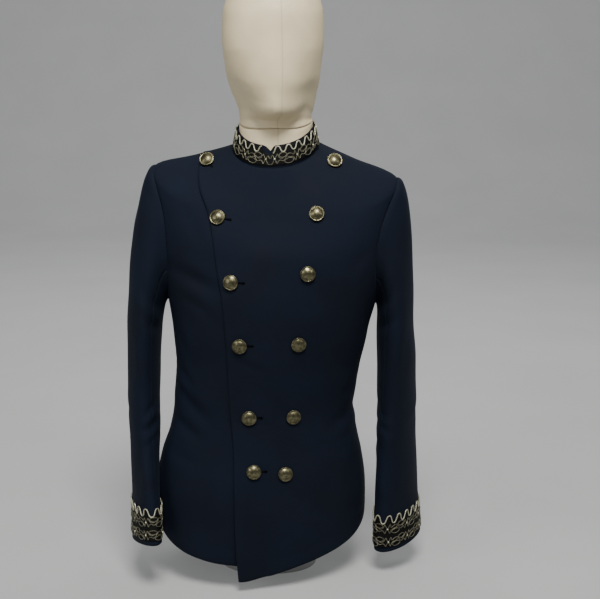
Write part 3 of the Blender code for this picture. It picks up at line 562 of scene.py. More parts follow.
def creaseShape(flat, along, bow, width, ridge, taper):
    # A Gaussian hollow about a bowed line, less a lower Gaussian ridge beside it, fading out
    # along the line by the part of half a sine that taper leaves at each end.
    length = math.hypot(*along)
    across = np.array((-along[1], along[0])) / length
    share = np.clip((flat @ along) / length**2, 0, 1)
    offset = (flat - share[..., None] * along) @ across - bow * 4 * share * (1 - share)
    past = (flat @ along) / length - share * length
    hollow = np.exp(-(offset**2 + past**2) / width**2)
    beside = np.exp(-((offset - 1.7 * width)**2 + past**2) / (1.1 * width)**2)
    return np.sin(math.pi * (taper + (1 - 2 * taper) * share)) * (hollow - ridge * beside)


def creaseDepth(points, table):
    # All creases of one side, laid on it in its own view.
    depth = np.zeros(points.shape[:-1])
    for x1, z1, x2, z2, bow, width, deep, ridge in table.values():
        flat, along = points[..., (0, 2)] - (x1, z1), np.array((x2 - x1, z2 - z1), float)
        depth += deep * creaseShape(flat, along, bow, width, ridge, 0.12)
    return depth


def slackness(points, size=0.5):
    # The cloth's slight unevenness: a few long waves that cross, half a mm high.
    x, y, z = np.moveaxis(points, -1, 0)
    return size * (np.sin(x / 31 + 1.3 * np.sin(z / 67)) * np.sin(z / 43 + y / 39)
                   + 0.6 * np.sin(x / 17 - z / 58 + 0.8) * np.sin(y / 22 + z / 29)
                   + 0.5 * np.sin(z / 15 + x / 49 + y / 37 + 2.1))


def bodyPoint(level, angle):
    # The smooth section point, moved in along its normal by the creases. Below the hem's own
    # level the surface runs straight on.
    base = smoothPoint(np.maximum(level, 0.0), angle)
    edge = smoothPoint(0.0 * base[..., 0], angle)
    base = base + (edge - smoothPoint(20.0 + 0 * base[..., 0], angle)) * (
        np.maximum(-np.asarray(level, float), 0.0) / 20.0)[..., None]
    normal = bodyNormal(level, angle)
    front = np.sin(angle + 0 * base[..., 0]) >= 0
    depth = np.where(front, creaseDepth(base, frontCreases), creaseDepth(base, backCreases))
    return base - (depth - slackness(base))[..., None] * normal


def angleAt(level, distance, sign):
    # The angle whose section point lies this far to one side of the centre front.
    width, power = body("halfWidth", level), body("power", level)
    x = np.minimum(distance, 0.9999 * width)
    y = body("frontDepth", level) * (1 - (x / width)**power)**(1 / power)
    found = np.arctan2(y, x)
    return found if sign > 0 else math.pi - found


def borderAngle(level, widest):
    # The armhole's half angle, an ellipse over its height, or half the seam gap beyond it.
    share = np.clip((level - armholeMiddle) / armholeHalf, -1, 1)
    gap = seamGap / 2 / body("halfWidth", level)
    return np.maximum(math.radians(widest) * np.sqrt(1 - share**2), gap)


def lapAngle(level):
    # The lapping front's free edge, which stops just short of the shoulder seam.
    stop = math.pi - lap["shoulderStop"] / body("halfWidth", level)
    return np.minimum(angleAt(level, smoothTable(stations, lap["edge"], level), -1), stop)


def underAngle(level):
    return angleAt(level, lap["under"], 1)


def bodyLevels():
    # Rows up the side, close together where the armhole begins and ends.
    low = np.linspace(0.0, levelOf["armpit"], 112)
    arm = armholeMiddle - armholeHalf * np.cos(math.pi * np.arange(1, 64) / 64)
    top = np.linspace(armholeTop, topLevel, 40)
    return np.concatenate((low, arm, top))


levels = bodyLevels()


def shareColumns(stops, counts):
    # Columns shared out evenly between stops that change with the level.
    stops = [np.asarray(stop, float)[..., None] for stop in stops]
    parts = [a + (b - a) * np.arange(n) / n for a, b, n in zip(stops, stops[1:], counts)]
    return np.concatenate(parts + [stops[-1]], -1)


def collarClimb(angle):
    # Up the collar's wall: 38 parts upwards and 8 parts in towards the neck.
    centre = np.array((body("sway", topLevel), body("lean", topLevel), 0.0))
    inward = centre - smoothPoint(topLevel, angle)
    inward[..., 2] = 0.0
    upright = np.zeros_like(inward)
    upright[..., 2] = collar["front"]
    return unit(upright + collar["lean"] * unit(inward))


def collarNormal(angle):
    along = smoothPoint(topLevel, angle + 0.01) - smoothPoint(topLevel, angle - 0.01)
    return unit(np.cross(collarClimb(angle), along))


def neckMitre(angle):
    # One unit away from both the body and the collar at their joint.
    normal, upright = bodyNormal(topLevel, angle), collarNormal(angle)
    return (normal + upright) / (1 + np.sum(normal * upright, -1, keepdims=True))


def seamDip(distance, along, ripple=seam["ripple"]):
    # A seam draws the cloth in, deepest at the joint, with a small pucker that dies away.
    dip = seam["dip"] * np.exp(-(distance / seam["width"])**2)
    pucker = np.sin(along / 2.3 + 1.7 * np.sin(along / 19)) * np.sin(along / 41 + 0.6)
    return dip + ripple * pucker * np.exp(-(distance / seam["puckerReach"])**2)


def panelSurfaces(angles, lift, hemLevel, seams):
    # The panel's outer and inner grids: the body's point plus lift along its normal, less the
    # dip at its seams. The hem line is drawn up or let down by hemLevel, which fades out above.
    rise = np.asarray(hemLevel)[None] * (1 - blend(levels / 110.0))[:, None]
    level = levels[:, None] + rise
    point = bodyPoint(level, angles)
    normal = bodyNormal(level, angles)
    normal[-1] = neckMitre(angles[-1])
    across, up = runLength(point, 1), runLength(point, 0)
    dip = np.zeros(across.shape)
    if "first" in seams:
        dip += seamDip(across, up)
    if "last" in seams:
        dip += seamDip(across[:, -1:] - across, up)
    dip += seamDip(up[-1:] - up, across)
    dip += 0.35 * np.exp(-((up - 26.0) / 3.5)**2)  # the hem's blind stitching, just felt
    outer = point + (lift - dip)[..., None] * normal
    return outer, outer - clothWall * normal


def bodyPanel(name, angles, seams, lift=0.0, hemLevel=0.0):
    surfaces = panelSurfaces(angles, lift + 0 * angles, hemLevel + 0 * angles[0], seams)
    return clothPiece(name + "_cloth", *surfaces, woolFinish)


def lapLift(level, angles):
    # The left front rides one wall and a seam above the right one, comes down to the body past
    # the right one's edge, and stands a little free towards its own lower corner.
    past = (underAngle(level) - angles) * body("frontDepth", level) * 1.25
    ride = (clothWall + seamGap) * (1 - blend((past - 4) / lap["blend"]))
    near = blend((angles - quarter) / (lapAngle(level) - quarter))
    low = 1 - blend(level / lap["liftTop"])
    ripple = 0.35 * np.sin(level / 23 + 1.4 * np.sin(level / 61)) * near**3
    return ride + (lap["lift"] * low * near + ripple + lap["roll"] * near**8) * (angles > quarter)


collar = {"front": 38.0, "back": 38.0, "lean": 8.0, "notch": 9.0, "notchLeft": 9.0,
          "notchRight": 16.0}
counts = {"side": 48, "under": 15, "lap": 28, "back": 72}

under = underAngle(levels)
free = lapAngle(levels)
frontBorder = borderAngle(levels, armhole["front"])
backBorder = borderAngle(levels, armhole["back"])
coarseStep = levelOf["armpit"] / 13
frontStep = body("frontZ", coarseStep) - body("frontZ", 0.0)

# The four body panels
leftAngles = shareColumns((frontBorder, under, quarter + 0 * under, free),
                          (counts["side"], counts["under"], counts["lap"]))
near = blend((leftAngles[0] - quarter) / (free[0] - quarter)) * (leftAngles[0] > quarter)
hemLine = (lap["hemRise"] * np.sin(2 * np.clip(leftAngles[0], 0, quarter))
           - lap["cornerDrop"] * near) / frontStep * coarseStep
lifted = lapLift(levels[:, None], leftAngles)
frontLeft = bodyPanel("front_left", leftAngles, ("first",), lifted, hemLine)

rightAngles = shareColumns((under, quarter + 0 * under, free, math.pi - frontBorder),
                           (counts["under"], counts["lap"], counts["side"]))
away = np.clip((rightAngles[0] - free[0]) / (math.pi - free[0]), 0, 1)
hemLine = lap["underRise"] * (1 - blend(away)) / frontStep * coarseStep
frontRight = bodyPanel("front_right", rightAngles, ("last",), hemLevel=hemLine)

centreGap = seamGap / 2 / body("backDepth", levels)
leftBack = shareColumns((3 * quarter + centreGap, 4 * quarter - backBorder), (counts["back"],))
rightBack = shareColumns((2 * quarter + backBorder, 3 * quarter - centreGap), (counts["back"],))
backLeft = bodyPanel("back_left", leftBack, ("first", "last"))
backRight = bodyPanel("back_right", rightBack, ("first", "last"))
print("body panels made")

# Sleeves
# Sections below the armpit: height, centre, half width, half depth, how far the front edge is
# turned in, and how much lower it hangs.
sleeveRows = {
    "left": ((-305, 218, 12, 33.0, 80, 6, 0), (-360, 221, 12, 34.5, 77, 9, 0),
             (-430, 223, 9, 34.0, 72, 14, 0), (-500, 224, 2, 32.5, 68, 20, 0),
             (-570, 225, -6, 31.0, 64, 28, 2), (-630, 226, -14, 30.0, 60, 36, 5),
             (-693, 228, -22, 30.0, 57, 44, 10)),
    "right": ((-305, -228, 12, 30.5, 80, 3, 0), (-360, -230, 8, 29.5, 77, 4, 0),
              (-430, -231, -2, 29.0, 72, 5, 0), (-500, -230, -20, 27.0, 68, 8, 0),
              (-555, -228, -44, 24.5, 64, 12, 0), (-612, -225, -68, 22.5, 60, 18, -5),
              (-666, -223, -90, 22.0, 58, 22, -11)),
}
# How a sleeve leaves its armhole and falls, its seams in degrees, and mm to the radian once
# it is opened out flat.
cap = {"clear": 0.25, "reachTop": 105.0, "reachSide": 60.0, "reachArmpit": 22.0, "fallTop": 250.0,
       "fallArmpit": 45.0, "frontSeam": 120.0, "backSeam": 255.0, "opened": 54.0,
       "columns": 120, "rows": 50, "cuff": 70.0, "roll": 0.9, "ease": 0.3}
# Creases of the sleeves, as on the body but round the sleeve: degrees (0 outside, 90 front, 180
# next to the body, 270 back) and height at each end, bow, half width, depth and ridge.
sleeveCreases = {
    "right": {
        "headDent":     (38, -52, 66, -104, 3, 10, 2.6, 0.4),
        "headDent2":    (8, -60, 24, -118, -3, 11, 1.8, 0.4),
        "armpitDrag":   (150, -262, 66, -214, 6, 11, 2.6, 0.4),
        "armpitDrag2":  (158, -300, 84, -262, 5, 10, 2.0, 0.4),
        "elbowFold":    (168, -424, 88, -446, -5, 8, 2.6, 0.5),
        "elbowFold2":   (160, -452, 74, -468, 5, 9, 2.9, 0.5),
        "elbowFold3":   (166, -486, 96, -492, -3, 8, 2.0, 0.5),
        "foreTwist":    (64, -508, 34, -584, 4, 13, 1.5, 0.4),
        "upperLong":    (52, -300, 60, -404, -5, 15, 1.4, 0.4),
        "outerElbow":   (-28, -436, 34, -462, 3, 12, 1.3, 0.4),
        "backElbow":    (232, -420, 300, -446, 5, 10, 2.3, 0.4),
        "backElbow2":   (240, -468, 306, -474, -4, 9, 1.9, 0.5),
        "backUpper":    (222, -250, 284, -206, 6, 12, 2.0, 0.4),
        "backLower":    (256, -520, 292, -590, -4, 12, 1.3, 0.4),
    },
    "left": {
        "headDent":     (30, -58, 58, -112, 4, 11, 1.8, 0.4),
        "armpitDrag":   (152, -258, 72, -206, 7, 12, 2.3, 0.4),
        "armpitDrag2":  (156, -296, 88, -268, 4, 10, 1.8, 0.4),
        "elbowFold":    (166, -436, 94, -452, 4, 9, 2.4, 0.5),
        "elbowFold2":   (158, -470, 82, -480, -5, 8, 2.2, 0.5),
        "elbowFold3":   (164, -502, 104, -516, 3, 8, 1.6, 0.5),
        "foreTwist":    (78, -530, 46, -612, 4, 13, 1.7, 0.4),
        "upperLong":    (44, -286, 58, -392, 5, 15, 1.3, 0.4),
        "outerElbow":   (-36, -448, 26, -478, -3, 13, 1.4, 0.4),
        "backElbow":    (228, -432, 296, -462, -5, 10, 2.2, 0.4),
        "backElbow2":   (236, -486, 300, -498, 4, 9, 1.8, 0.5),
        "backUpper":    (226, -240, 280, -196, 5, 12, 1.9, 0.4),
        "backLower":    (262, -540, 290, -616, 4, 12, 1.4, 0.4),
    },
}


def armholeRing(left, turn):
    # Round the armhole: up and down by the cosine of turn, to front and back by its sine.
    level = armholeMiddle + armholeHalf * np.cos(turn)
    widest = np.where(np.sin(turn) >= 0, armhole["front"], armhole["back"])
    angle = np.radians(widest) * np.sin(turn)
    angle = angle if left else math.pi - angle
    return bodyPoint(level, angle), bodyNormal(level, angle)


def sleeveSections(side, heights, turn):
    # An ellipse at each height, swung about its centre, its front edge lower by drop.
    rows = np.array(sleeveRows[side], float)
    at = -np.asarray(heights, float)[..., None]
    x0, y0, width, depth, swing, drop = (smoothTable(-rows[:, 0], rows[:, i], at) for i in range(1, 7))
    swing = np.radians(swing)
    across, forward = width * np.cos(turn), depth * np.sin(turn)
    outward = 1.0 if side == "left" else -1.0
    x = x0 + outward * (across * np.cos(swing) - forward * np.sin(swing))
    y = y0 - forward * np.cos(swing) - across * np.sin(swing)
    return np.stack((x, y, -at - drop * np.sin(turn)), -1)


def sleeveSurface(side, turn):
    # Rings from the armhole to the sleeve's end: cubic curves that leave the armhole outwards
    # and join the sections' own fall, and then the sections.
    left = side == "left"
    ring, normal = armholeRing(left, turn)
    spread = math.radians(15)
    tangent = unit(armholeRing(left, turn + spread)[0] - armholeRing(left, turn - spread)[0])
    centre = armholeRing(left, np.arange(24) * spread)[0].mean(0)
    into = unit(np.cross(normal, tangent))
    into = into * np.sign(np.sum(into * (centre - ring), -1, keepdims=True))
    start = ring + seamGap * into
    outward = np.array((1.0 if left else -1.0, 0.0, 0.0))
    top = blend((np.cos(turn) + 1) / 2)[:, None]
    leave = unit(outward + into * (0.22 + 0.2 * (1 - top)))
    clear = np.sum(leave * normal, -1, keepdims=True)
    leave = unit(leave + normal * np.maximum(0, cap["clear"] - clear))
    sideways = np.abs(np.sin(turn))[:, None]
    reach = cap["reachArmpit"] + (cap["reachTop"] - cap["reachArmpit"]) * top
    reach = reach * (1 - sideways**2) + cap["reachSide"] * sideways**2
    fall = cap["fallArmpit"] + (cap["fallTop"] - cap["fallArmpit"]) * top
    first, last = sleeveRows[side][0][0], sleeveRows[side][-1][0]
    end = sleeveSections(side, [first], turn)[0]
    down = unit(sleeveSections(side, [first - 1.0], turn)[0] - end)
    t = (np.linspace(0, 1, cap["rows"]) ** 1.25)[:, None, None]
    head = (start * (2 * t**3 - 3 * t**2 + 1) + leave * reach * (t**3 - 2 * t**2 + t)
            + end * (3 * t**2 - 2 * t**3) + down * fall * (t**3 - t**2))
    heights = np.linspace(first, last, round((first - last) / 4.0) + 1)[1:]
    rings = np.concatenate((head, sleeveSections(side, heights, turn)))
    return rings, normal


def tubeNormals(rings):
    # Across the rings and down them; the sign points away from the axis.
    around = np.roll(rings, -1, 1) - np.roll(rings, 1, 1)
    normal = unit(np.cross(around, np.gradient(rings, axis=0)))
    return normal * np.sign(np.sum(normal[-1] * (rings[-1] - rings[-1].mean(0))))


def sleeveCreaseDepth(points, turn, table):
    # The same creases on the sleeve opened out flat.
    depth = np.zeros(points.shape[:-1])
    for a1, z1, a2, z2, bow, width, deep, ridge in table.values():
        middle = math.radians((a1 + a2) / 2)
        swing = (turn - middle + math.pi) % (2 * math.pi) - math.pi + middle - math.radians(a1)
        flat = np.stack((cap["opened"] * swing + 0 * points[..., 2], points[..., 2] - z1), -1)
        along = np.array((cap["opened"] * math.radians(a2 - a1), z2 - z1))
        depth += deep * creaseShape(flat, along, bow, width, ridge, 0.1)
    return depth


sleeves = {}
for side in ("left", "right"):
    turn = np.arange(cap["columns"]) * 2 * math.pi / cap["columns"]
    rings, armholeNormal = sleeveSurface(side, turn)
    normal = tubeNormals(rings)
    down = runLength(rings, 0)
    # No creases or slackness under the cuff's braid.
    cuff = blend((rings[..., 2] - sleeveRows[side][-1][0] - cap["cuff"]) / 40.0)
    sunk = sleeveCreaseDepth(rings, turn, sleeveCreases[side]) * cuff
    loose = slackness(rings + 40.0) * cuff * blend(down / 30.0)
    outer = rings - (sunk - loose)[..., None] * normal
    headTurn = np.cos(turn)[None]
    roll = cap["roll"] * np.exp(-((down - 10.0) / 7.0)**2) * blend(headTurn)
    ease = cap["ease"] * np.sin(turn * 34)[None] * np.exp(-(down / 9.0)**2) * blend(headTurn * 1.4)
    dip = seam["dip"] * np.exp(-(down / seam["width"])**2)
    outer = outer + (roll + ease - dip)[..., None] * normal
    at = blend(1 - down / 9.0)[..., None]
    wallNormal = unit(normal * (1 - at) + armholeNormal[None] * at)
    inner = outer - clothWall * wallNormal
    columns = cap["columns"]
    frontSeam = round(cap["frontSeam"] / 360 * columns)
    backSeam = round(cap["backSeam"] / 360 * columns)
    picks = {"top_sleeve_": np.arange(backSeam, columns + frontSeam + 1) % columns,
             "under_sleeve_": np.arange(frontSeam, backSeam + 1)}
    for name, picked in picks.items():
        outside, inside = outer[:, picked].copy(), inner[:, picked].copy()
        for grid in (outside, inside):
            grid[:, 0] += seamGap / 2 * unit(grid[:, 1] - grid[:, 0])
            grid[:, -1] += seamGap / 2 * unit(grid[:, -2] - grid[:, -1])
        across, up = runLength(outside, 1), runLength(outside, 0)
        dip = seamDip(across, up, 0.2) + seamDip(across[:, -1:] - across, up, 0.2)
        dip = dip * blend(up / 12.0)
        outside -= dip[..., None] * normal[:, picked]
        inside -= dip[..., None] * normal[:, picked]
        sleeves[name + side] = clothPiece(name + side + "_cloth", outside, inside, woolFinish)
print("sleeves made")

# Stand collar
collarAngles = np.linspace(quarter + seamGap / 2 / body("frontDepth", topLevel),
                           5 * quarter - seamGap / 2 / body("frontDepth", topLevel), 300)


def collarTop(angle):
    # Higher at the back than at the front.
    return collar["front"] + (collar["back"] - collar["front"]) * (1 - np.sin(angle)) / 2


def collarPlace(angle, height, away):
    # Up the wall from the neckline, less the notch: its drop is a square that ends at the notch's
    # width, and it fades down the wall by a square too. Points stand away along the normal.
    foot, climb = smoothPoint(topLevel, angle), collarClimb(angle)
    top = collarTop(angle)
    ends = collarAngles[[0, -1]]
    centre = (smoothPoint(topLevel, ends) + collarClimb(ends) * collarTop(ends)[:, None]).mean(0)
    gap = np.linalg.norm(foot + climb * top[..., None] - centre, axis=-1)
    width = np.where(np.cos(angle) < 0, collar["notchRight"], collar["notchLeft"])
    drop = collar["notch"] * np.clip(1 - gap / width, 0, 1)**2
    height = height - drop * (height / top)**2
    return foot + climb * height[..., None] + np.asarray(away)[..., None] * collarNormal(angle)


share = np.linspace(0, 1, 16)[:, None]
height = seamGap + (collarTop(collarAngles)[None] - seamGap) * share
angleGrid = collarAngles[None] + 0 * share
along = runLength(collarPlace(angleGrid, height, 0.0 * height), 1)
puff = 0.35 * np.sin(math.pi * share) - 0.6 * np.exp(-((height - seamGap) / 2.4)**2)
outer = collarPlace(angleGrid, height, puff)
inner = collarPlace(angleGrid, height, 0.3 * puff - clothWall)
collarCloth = clothPiece("collar_cloth", outer, inner, woolFinish)

# Braid
# One repeat of the lattice, in mm along and up the band: two strands that cross under a bead, and
# two almond-shaped loops, one high and one low.
lattice = {
    "high": ((0, 10), (2.6, 14.2), (4.6, 18.0), (6.4, 14.6), (9.0, 11.0), (13.5, 10.3), (18.5, 13.0),
             (22.5, 11.6), (26.0, 9.9), (30.5, 9.4), (34.0, 6.6), (36.0, 2.0), (37.9, 6.0)),
    "low": ((0, 10), (2.4, 6.2), (4.2, 2.2), (6.2, 5.8), (9.4, 7.6), (14.0, 5.8), (17.6, 8.4),
            (20.6, 13.6), (24.6, 16.2), (29.6, 15.0), (33.4, 12.4), (35.6, 17.8), (37.8, 13.8)),
    "almonds": ((14.2, 15.6, 6.8, 3.9), (24.8, 4.7, 7.9, 4.2)), "repeat": 40.0,
    "cord": 0.62, "bead": 1.75, "beadRise": 10.0, "over": 0.35, "cordLift": 0.55, "beadLift": 1.1,
    "foot": 5.8, "first": 7.3, "cuffShare": 0.95, "cuffShifts": (12.0, 15.0),
}
# The wave cord: how far its troughs and crests lie below the collar's top edge and above the
# sleeve's end, its length, and where it ends at the centre front.
wave = {"cord": 1.1, "lift": 0.75, "round": 0.25, "collarLow": 11.6, "collarHigh": 1.6,
        "collarLength": 18.8, "right": 15.4, "left": 12.6, "leftEnd": 4.6, "cuffLow": 50.5,
        "cuffHigh": 64.0, "cuffLength": 19.5, "cuffPhase": 0.9}
band = {"wall": 1.0, "collarFoot": 5.0, "edge": 1.3, "puff": 0.35, "cuffFoot": 8.0,
        "lattices": (8.0, 31.0), "middle": 30.0}


def threadThrough(points, steps=7):
    # Catmull-Rom: a cubic through every point, its slope there from the points on either side.
    p = np.concatenate((2 * points[:1] - points[1:2], points, 2 * points[-1:] - points[-2:-1]))
    t = (np.arange(steps) / steps)[None, :, None]
    a, b, c, d = (p[i:len(p) - 3 + i, None] for i in range(4))
    run = 0.5 * (2 * b + (c - a) * t + (2 * a - 5 * b + 4 * c - d) * t**2
                 + (3 * b - a - 3 * c + d) * t**3)
    return np.concatenate((run.reshape(-1, points.shape[1]), points[-1:]))


def strand(points, repeats, length):
    # The repeat laid end to end, closing on its own first point.
    points = np.array(points, float) * (length / lattice["repeat"], 1.0)
    whole = (points[None] + (np.arange(repeats) * length)[:, None, None] * (1.0, 0.0)).reshape(-1, 2)
    return threadThrough(np.concatenate((whole, [(repeats * length, points[0, 1])])))


def almonds(repeats, length, steps=26):
    # Loops pointed at both ends: the height goes as the sine's size to the power 1.35.
    turn = np.arange(steps) * 2 * math.pi / steps
    loops = []
    for s, h, wide, tall in lattice["almonds"]:
        rise = np.sign(np.sin(turn)) * np.abs(np.sin(turn))**1.35
        loop = np.stack((s * length / lattice["repeat"] + wide * np.cos(turn), h + tall * rise), -1)
        loops.append(loop[None] + (np.arange(repeats) * length)[:, None, None] * (1.0, 0.0))
    return np.concatenate(loops)


# Round the collar: the distance from the centre front along its middle height, each way.
dense = np.linspace(collarAngles[0], collarAngles[-1], 3000)
roundNeck = runLength(collarPlace(dense, 18.0 + 0 * dense, 0 * dense), 0)
girth = roundNeck[-1]


def collarBand(s, height, away, left):
    # A place on the collar from its distance to the centre front on the wearer's left or right.
    angle = np.interp(girth - s if left else s, roundNeck, dense)
    return collarPlace(angle, height, away + 0 * s), collarNormal(angle)


waveRun = girth - wave["right"] - wave["left"]
waveLength = waveRun / round(waveRun / wave["collarLength"])


def waveHeight(phase, low, high):
    # A cosine between low and high, with rounded crests and slightly steepened sides.
    return (low + high) / 2 + (high - low) / 2 * np.cos(phase - wave["round"] * np.sin(2 * phase))


# The band follows the top edge, and runs down to the wave's troughs at the centre front.
s = np.concatenate((np.arange(0, girth, 0.8), [girth]))
angle = np.interp(s, roundNeck, dense)
edge = collarTop(angle) - band["edge"]
low = collarTop(angle) - wave["collarLow"]
edge = np.where(s < wave["right"], low + (edge - low) * blend((s - 9.5) / 5.5), edge)
edge = np.where(girth - s < wave["leftEnd"], low + (edge - low) * blend((girth - s) / 4.0), edge)
share = np.linspace(0, 1, 7)[:, None]
height = band["collarFoot"] + (edge - band["collarFoot"])[None] * share
stand = seamGap + band["puff"] * np.sin(math.pi * np.clip(height / collar["front"], 0, 1))
outer = collarPlace(angle[None] + 0 * share, height, stand + band["wall"])
inner = collarPlace(angle[None] + 0 * share, height, stand)
collarGround = clothPiece("collar_braid_band", outer, inner, groundFinish, "braid")

top = seamGap + 0.3 + band["wall"]
s = np.linspace(wave["right"], girth - wave["leftEnd"], 1150)
angle = np.interp(s, roundNeck, dense)
phase = (s - wave["right"]) / waveLength * 2 * math.pi
height = waveHeight(phase, collarTop(angle) - wave["collarLow"], collarTop(angle) - wave["collarHigh"])
path = collarPlace(angle, height, top + wave["lift"] * wave["cord"] + 0 * s)
cordPiece("collar_wave_cord", path[None], collarNormal(angle)[None], wave["cord"], waveFinish, "braid",
          sides=8, closed=False)

# Each side has five and a half repeats, and its strands start from two points of their own.
starts = {"high": ((0.6, 12.0), (3.2, 17.4)), "low": ((0.6, 1.6), (3.2, 2.4))}
first, half, repeats = lattice["first"], girth / 2, 6
length = (half - first) / 5.5
cordTop = top + lattice["cordLift"]
loops, beads = [], []
for side in ("left", "right"):
    left = side == "left"
    for number, kind in enumerate(starts, 1):
        run = strand(lattice[kind], repeats, length) + (first, 0.0)
        lead = threadThrough(np.concatenate((starts[kind], run[:1])))[:-1]
        run = np.concatenate((lead, run))
        run = run[run[:, 0] <= half]
        sign = 1 if kind == "high" else -1  # one strand goes over where the other goes under
        over = lattice["over"] * sign * np.cos(2 * math.pi * (run[:, 0] - first) / length)
        path, away = collarBand(run[:, 0], lattice["foot"] + run[:, 1], cordTop + over, left)
        cordPiece(f"collar_strand_{side}_{number}", path[None], away[None], lattice["cord"],
                  thinFinish, "braid", closed=False)
    for loop in almonds(repeats, length) + (first, 0.0):
        if loop[:, 0].max() < half - 0.5:
            loops.append(collarBand(loop[:, 0], lattice["foot"] + loop[:, 1], cordTop, left))
    s = first + np.arange(repeats) * length
    height = lattice["foot"] + lattice["beadRise"] + 0 * s
    beads.append(collarBand(s, height, top + lattice["beadLift"], left))
cordPiece("collar_loops", *zip(*loops), lattice["cord"], thinFinish, "braid")
beadProfile = [(lattice["bead"] * math.sin(a), -lattice["bead"] * math.cos(a) * 0.8)
               for a in np.linspace(0.02, math.pi - 0.02, 9)]
turnedPiece("collar_beads", *map(np.concatenate, zip(*beads)), beadProfile, 12, beadFinish, "braid")
print("collar and its braid made")

# Round each cuff: the same lattice twice, and the wave above it.
for side in ("left", "right"):
    end = sleeveRows[side][-1][0]
    dense = np.linspace(0, 2 * math.pi, 1500)
    roundCuff = runLength(sleeveSections(side, [end + band["middle"]], dense)[0], 0)
    girth = roundCuff[-1]

    def cuffBand(s, height, away):
        # A place round the cuff from the distance along it and the height above its end.
        turn = np.interp(s % girth, roundCuff, dense)

        def at(rise, swing):
            heights, turns = (end + height + rise).ravel(), (turn + swing).ravel()[:, None]
            return sleeveSections(side, heights, turns)[:, 0].reshape(turn.shape + (3,))

        normal = unit(np.cross(at(0, 0.02) - at(0, -0.02), at(2, 0) - at(-2, 0)))
        middle = sleeveSections(side, [end + band["middle"]], np.arange(8) * quarter / 2)[0].mean(0)
        normal = normal * np.sign(np.sum(normal * (at(0, 0) - middle), -1, keepdims=True).mean())
        return at(0, 0) + (away + 0 * height)[..., None] * normal, normal

    swells = round(girth / wave["cuffLength"])

    def cuffWave(s):
        phase = 2 * math.pi * swells * s / girth + wave["cuffPhase"]
        return waveHeight(phase, wave["cuffLow"], wave["cuffHigh"])

    s = np.arange(360) * girth / 360
    share = np.linspace(0, 1, 12)[:, None]
    height = band["cuffFoot"] + (cuffWave(s) - band["cuffFoot"])[None] * share
    outer = cuffBand(s[None] + 0 * share, height, seamGap + band["wall"])[0]
    inner = cuffBand(s[None] + 0 * share, height, seamGap)[0]
    clothPiece("cuff_braid_band_" + side, outer, inner, groundFinish, "braid",
                                   closed=True)
    top = seamGap + band["wall"]
    s = np.arange(620) * girth / 620
    path, away = cuffBand(s, cuffWave(s), top + wave["lift"] * wave["cord"])
    cordPiece("cuff_wave_cord_" + side, path[None], away[None], wave["cord"], waveFinish, "braid",
              sides=8)
    repeats = round(girth / lattice["repeat"])
    length = girth / repeats
    loops, beads = [], []
    for number, (foot, shift) in enumerate(zip(band["lattices"], lattice["cuffShifts"]), 1):
        for kind, sign in (("high", 1), ("low", -1)):
            run = strand(lattice[kind], repeats, length)[:-1]
            over = lattice["over"] * sign * np.cos(2 * math.pi * run[:, 0] / length)
            path, away = cuffBand(run[:, 0] + shift, foot + lattice["cuffShare"] * run[:, 1],
                                  top + lattice["cordLift"] + over)
            cordPiece(f"cuff_strand_{side}_{number}_{kind}", path[None], away[None],
                      lattice["cord"], thinFinish, "braid")
        for loop in almonds(repeats, length):
            loops.append(cuffBand(loop[:, 0] + shift, foot + lattice["cuffShare"] * loop[:, 1],
                                  top + lattice["cordLift"]))
        at = np.arange(repeats) * length + shift
        rise = lattice["cuffShare"] * lattice["beadRise"]
        beads.append(cuffBand(at, foot + rise + 0 * at, top + lattice["beadLift"]))
    cordPiece("cuff_loops_" + side, *zip(*loops), lattice["cord"], thinFinish, "braid")
    turnedPiece("cuff_beads_" + side, *map(np.concatenate, zip(*beads)), beadProfile, 12, beadFinish,
                "braid")
print("cuff braid made")

# Buttons: height and distance from the centre front, on the wearer's right and on the left
buttonRows = ((-11, 111.5, -11, 103), (-97, 87, -90, 76.5), (-200, 63.5, -185, 63.5),
              (-307, 56.5, -304.5, 41), (-435, 39, -436, 36.5), (-529, 30.5, -535.5, 24))
# Radius and height: the shank, the back, the rolled rim, its groove and the dome.
buttonProfile = ((0.02, 0.2), (2.4, 0.2), (2.4, 1.2), (10.8, 1.25), (12.0, 1.7), (12.6, 2.4),
                 (12.7, 3.0), (12.35, 3.5), (11.8, 3.62), (11.3, 3.35), (10.9, 3.15), (10.3, 3.35),
                 (9.3, 4.15), (7.6, 5.15), (5.6, 6.0), (3.4, 6.65), (1.4, 6.95), (0.02, 7.0))
topButton = {"tip": 20.0, "shank": 3.2}
hole = {"start": 4.0, "end": 23.5, "gap": 0.9, "eye": 2.1, "thread": 0.42, "lift": 0.30,
        "topShare": 0.45}
holes = []
scan = np.linspace(0, topLevel, 4000)


def frontPoint(level, angle):
    # The left front's outer face, with its lift over the right one.
    normal = bodyNormal(level, angle)
    return bodyPoint(level, angle) + np.asarray(lapLift(level, angle))[..., None] * normal, normal


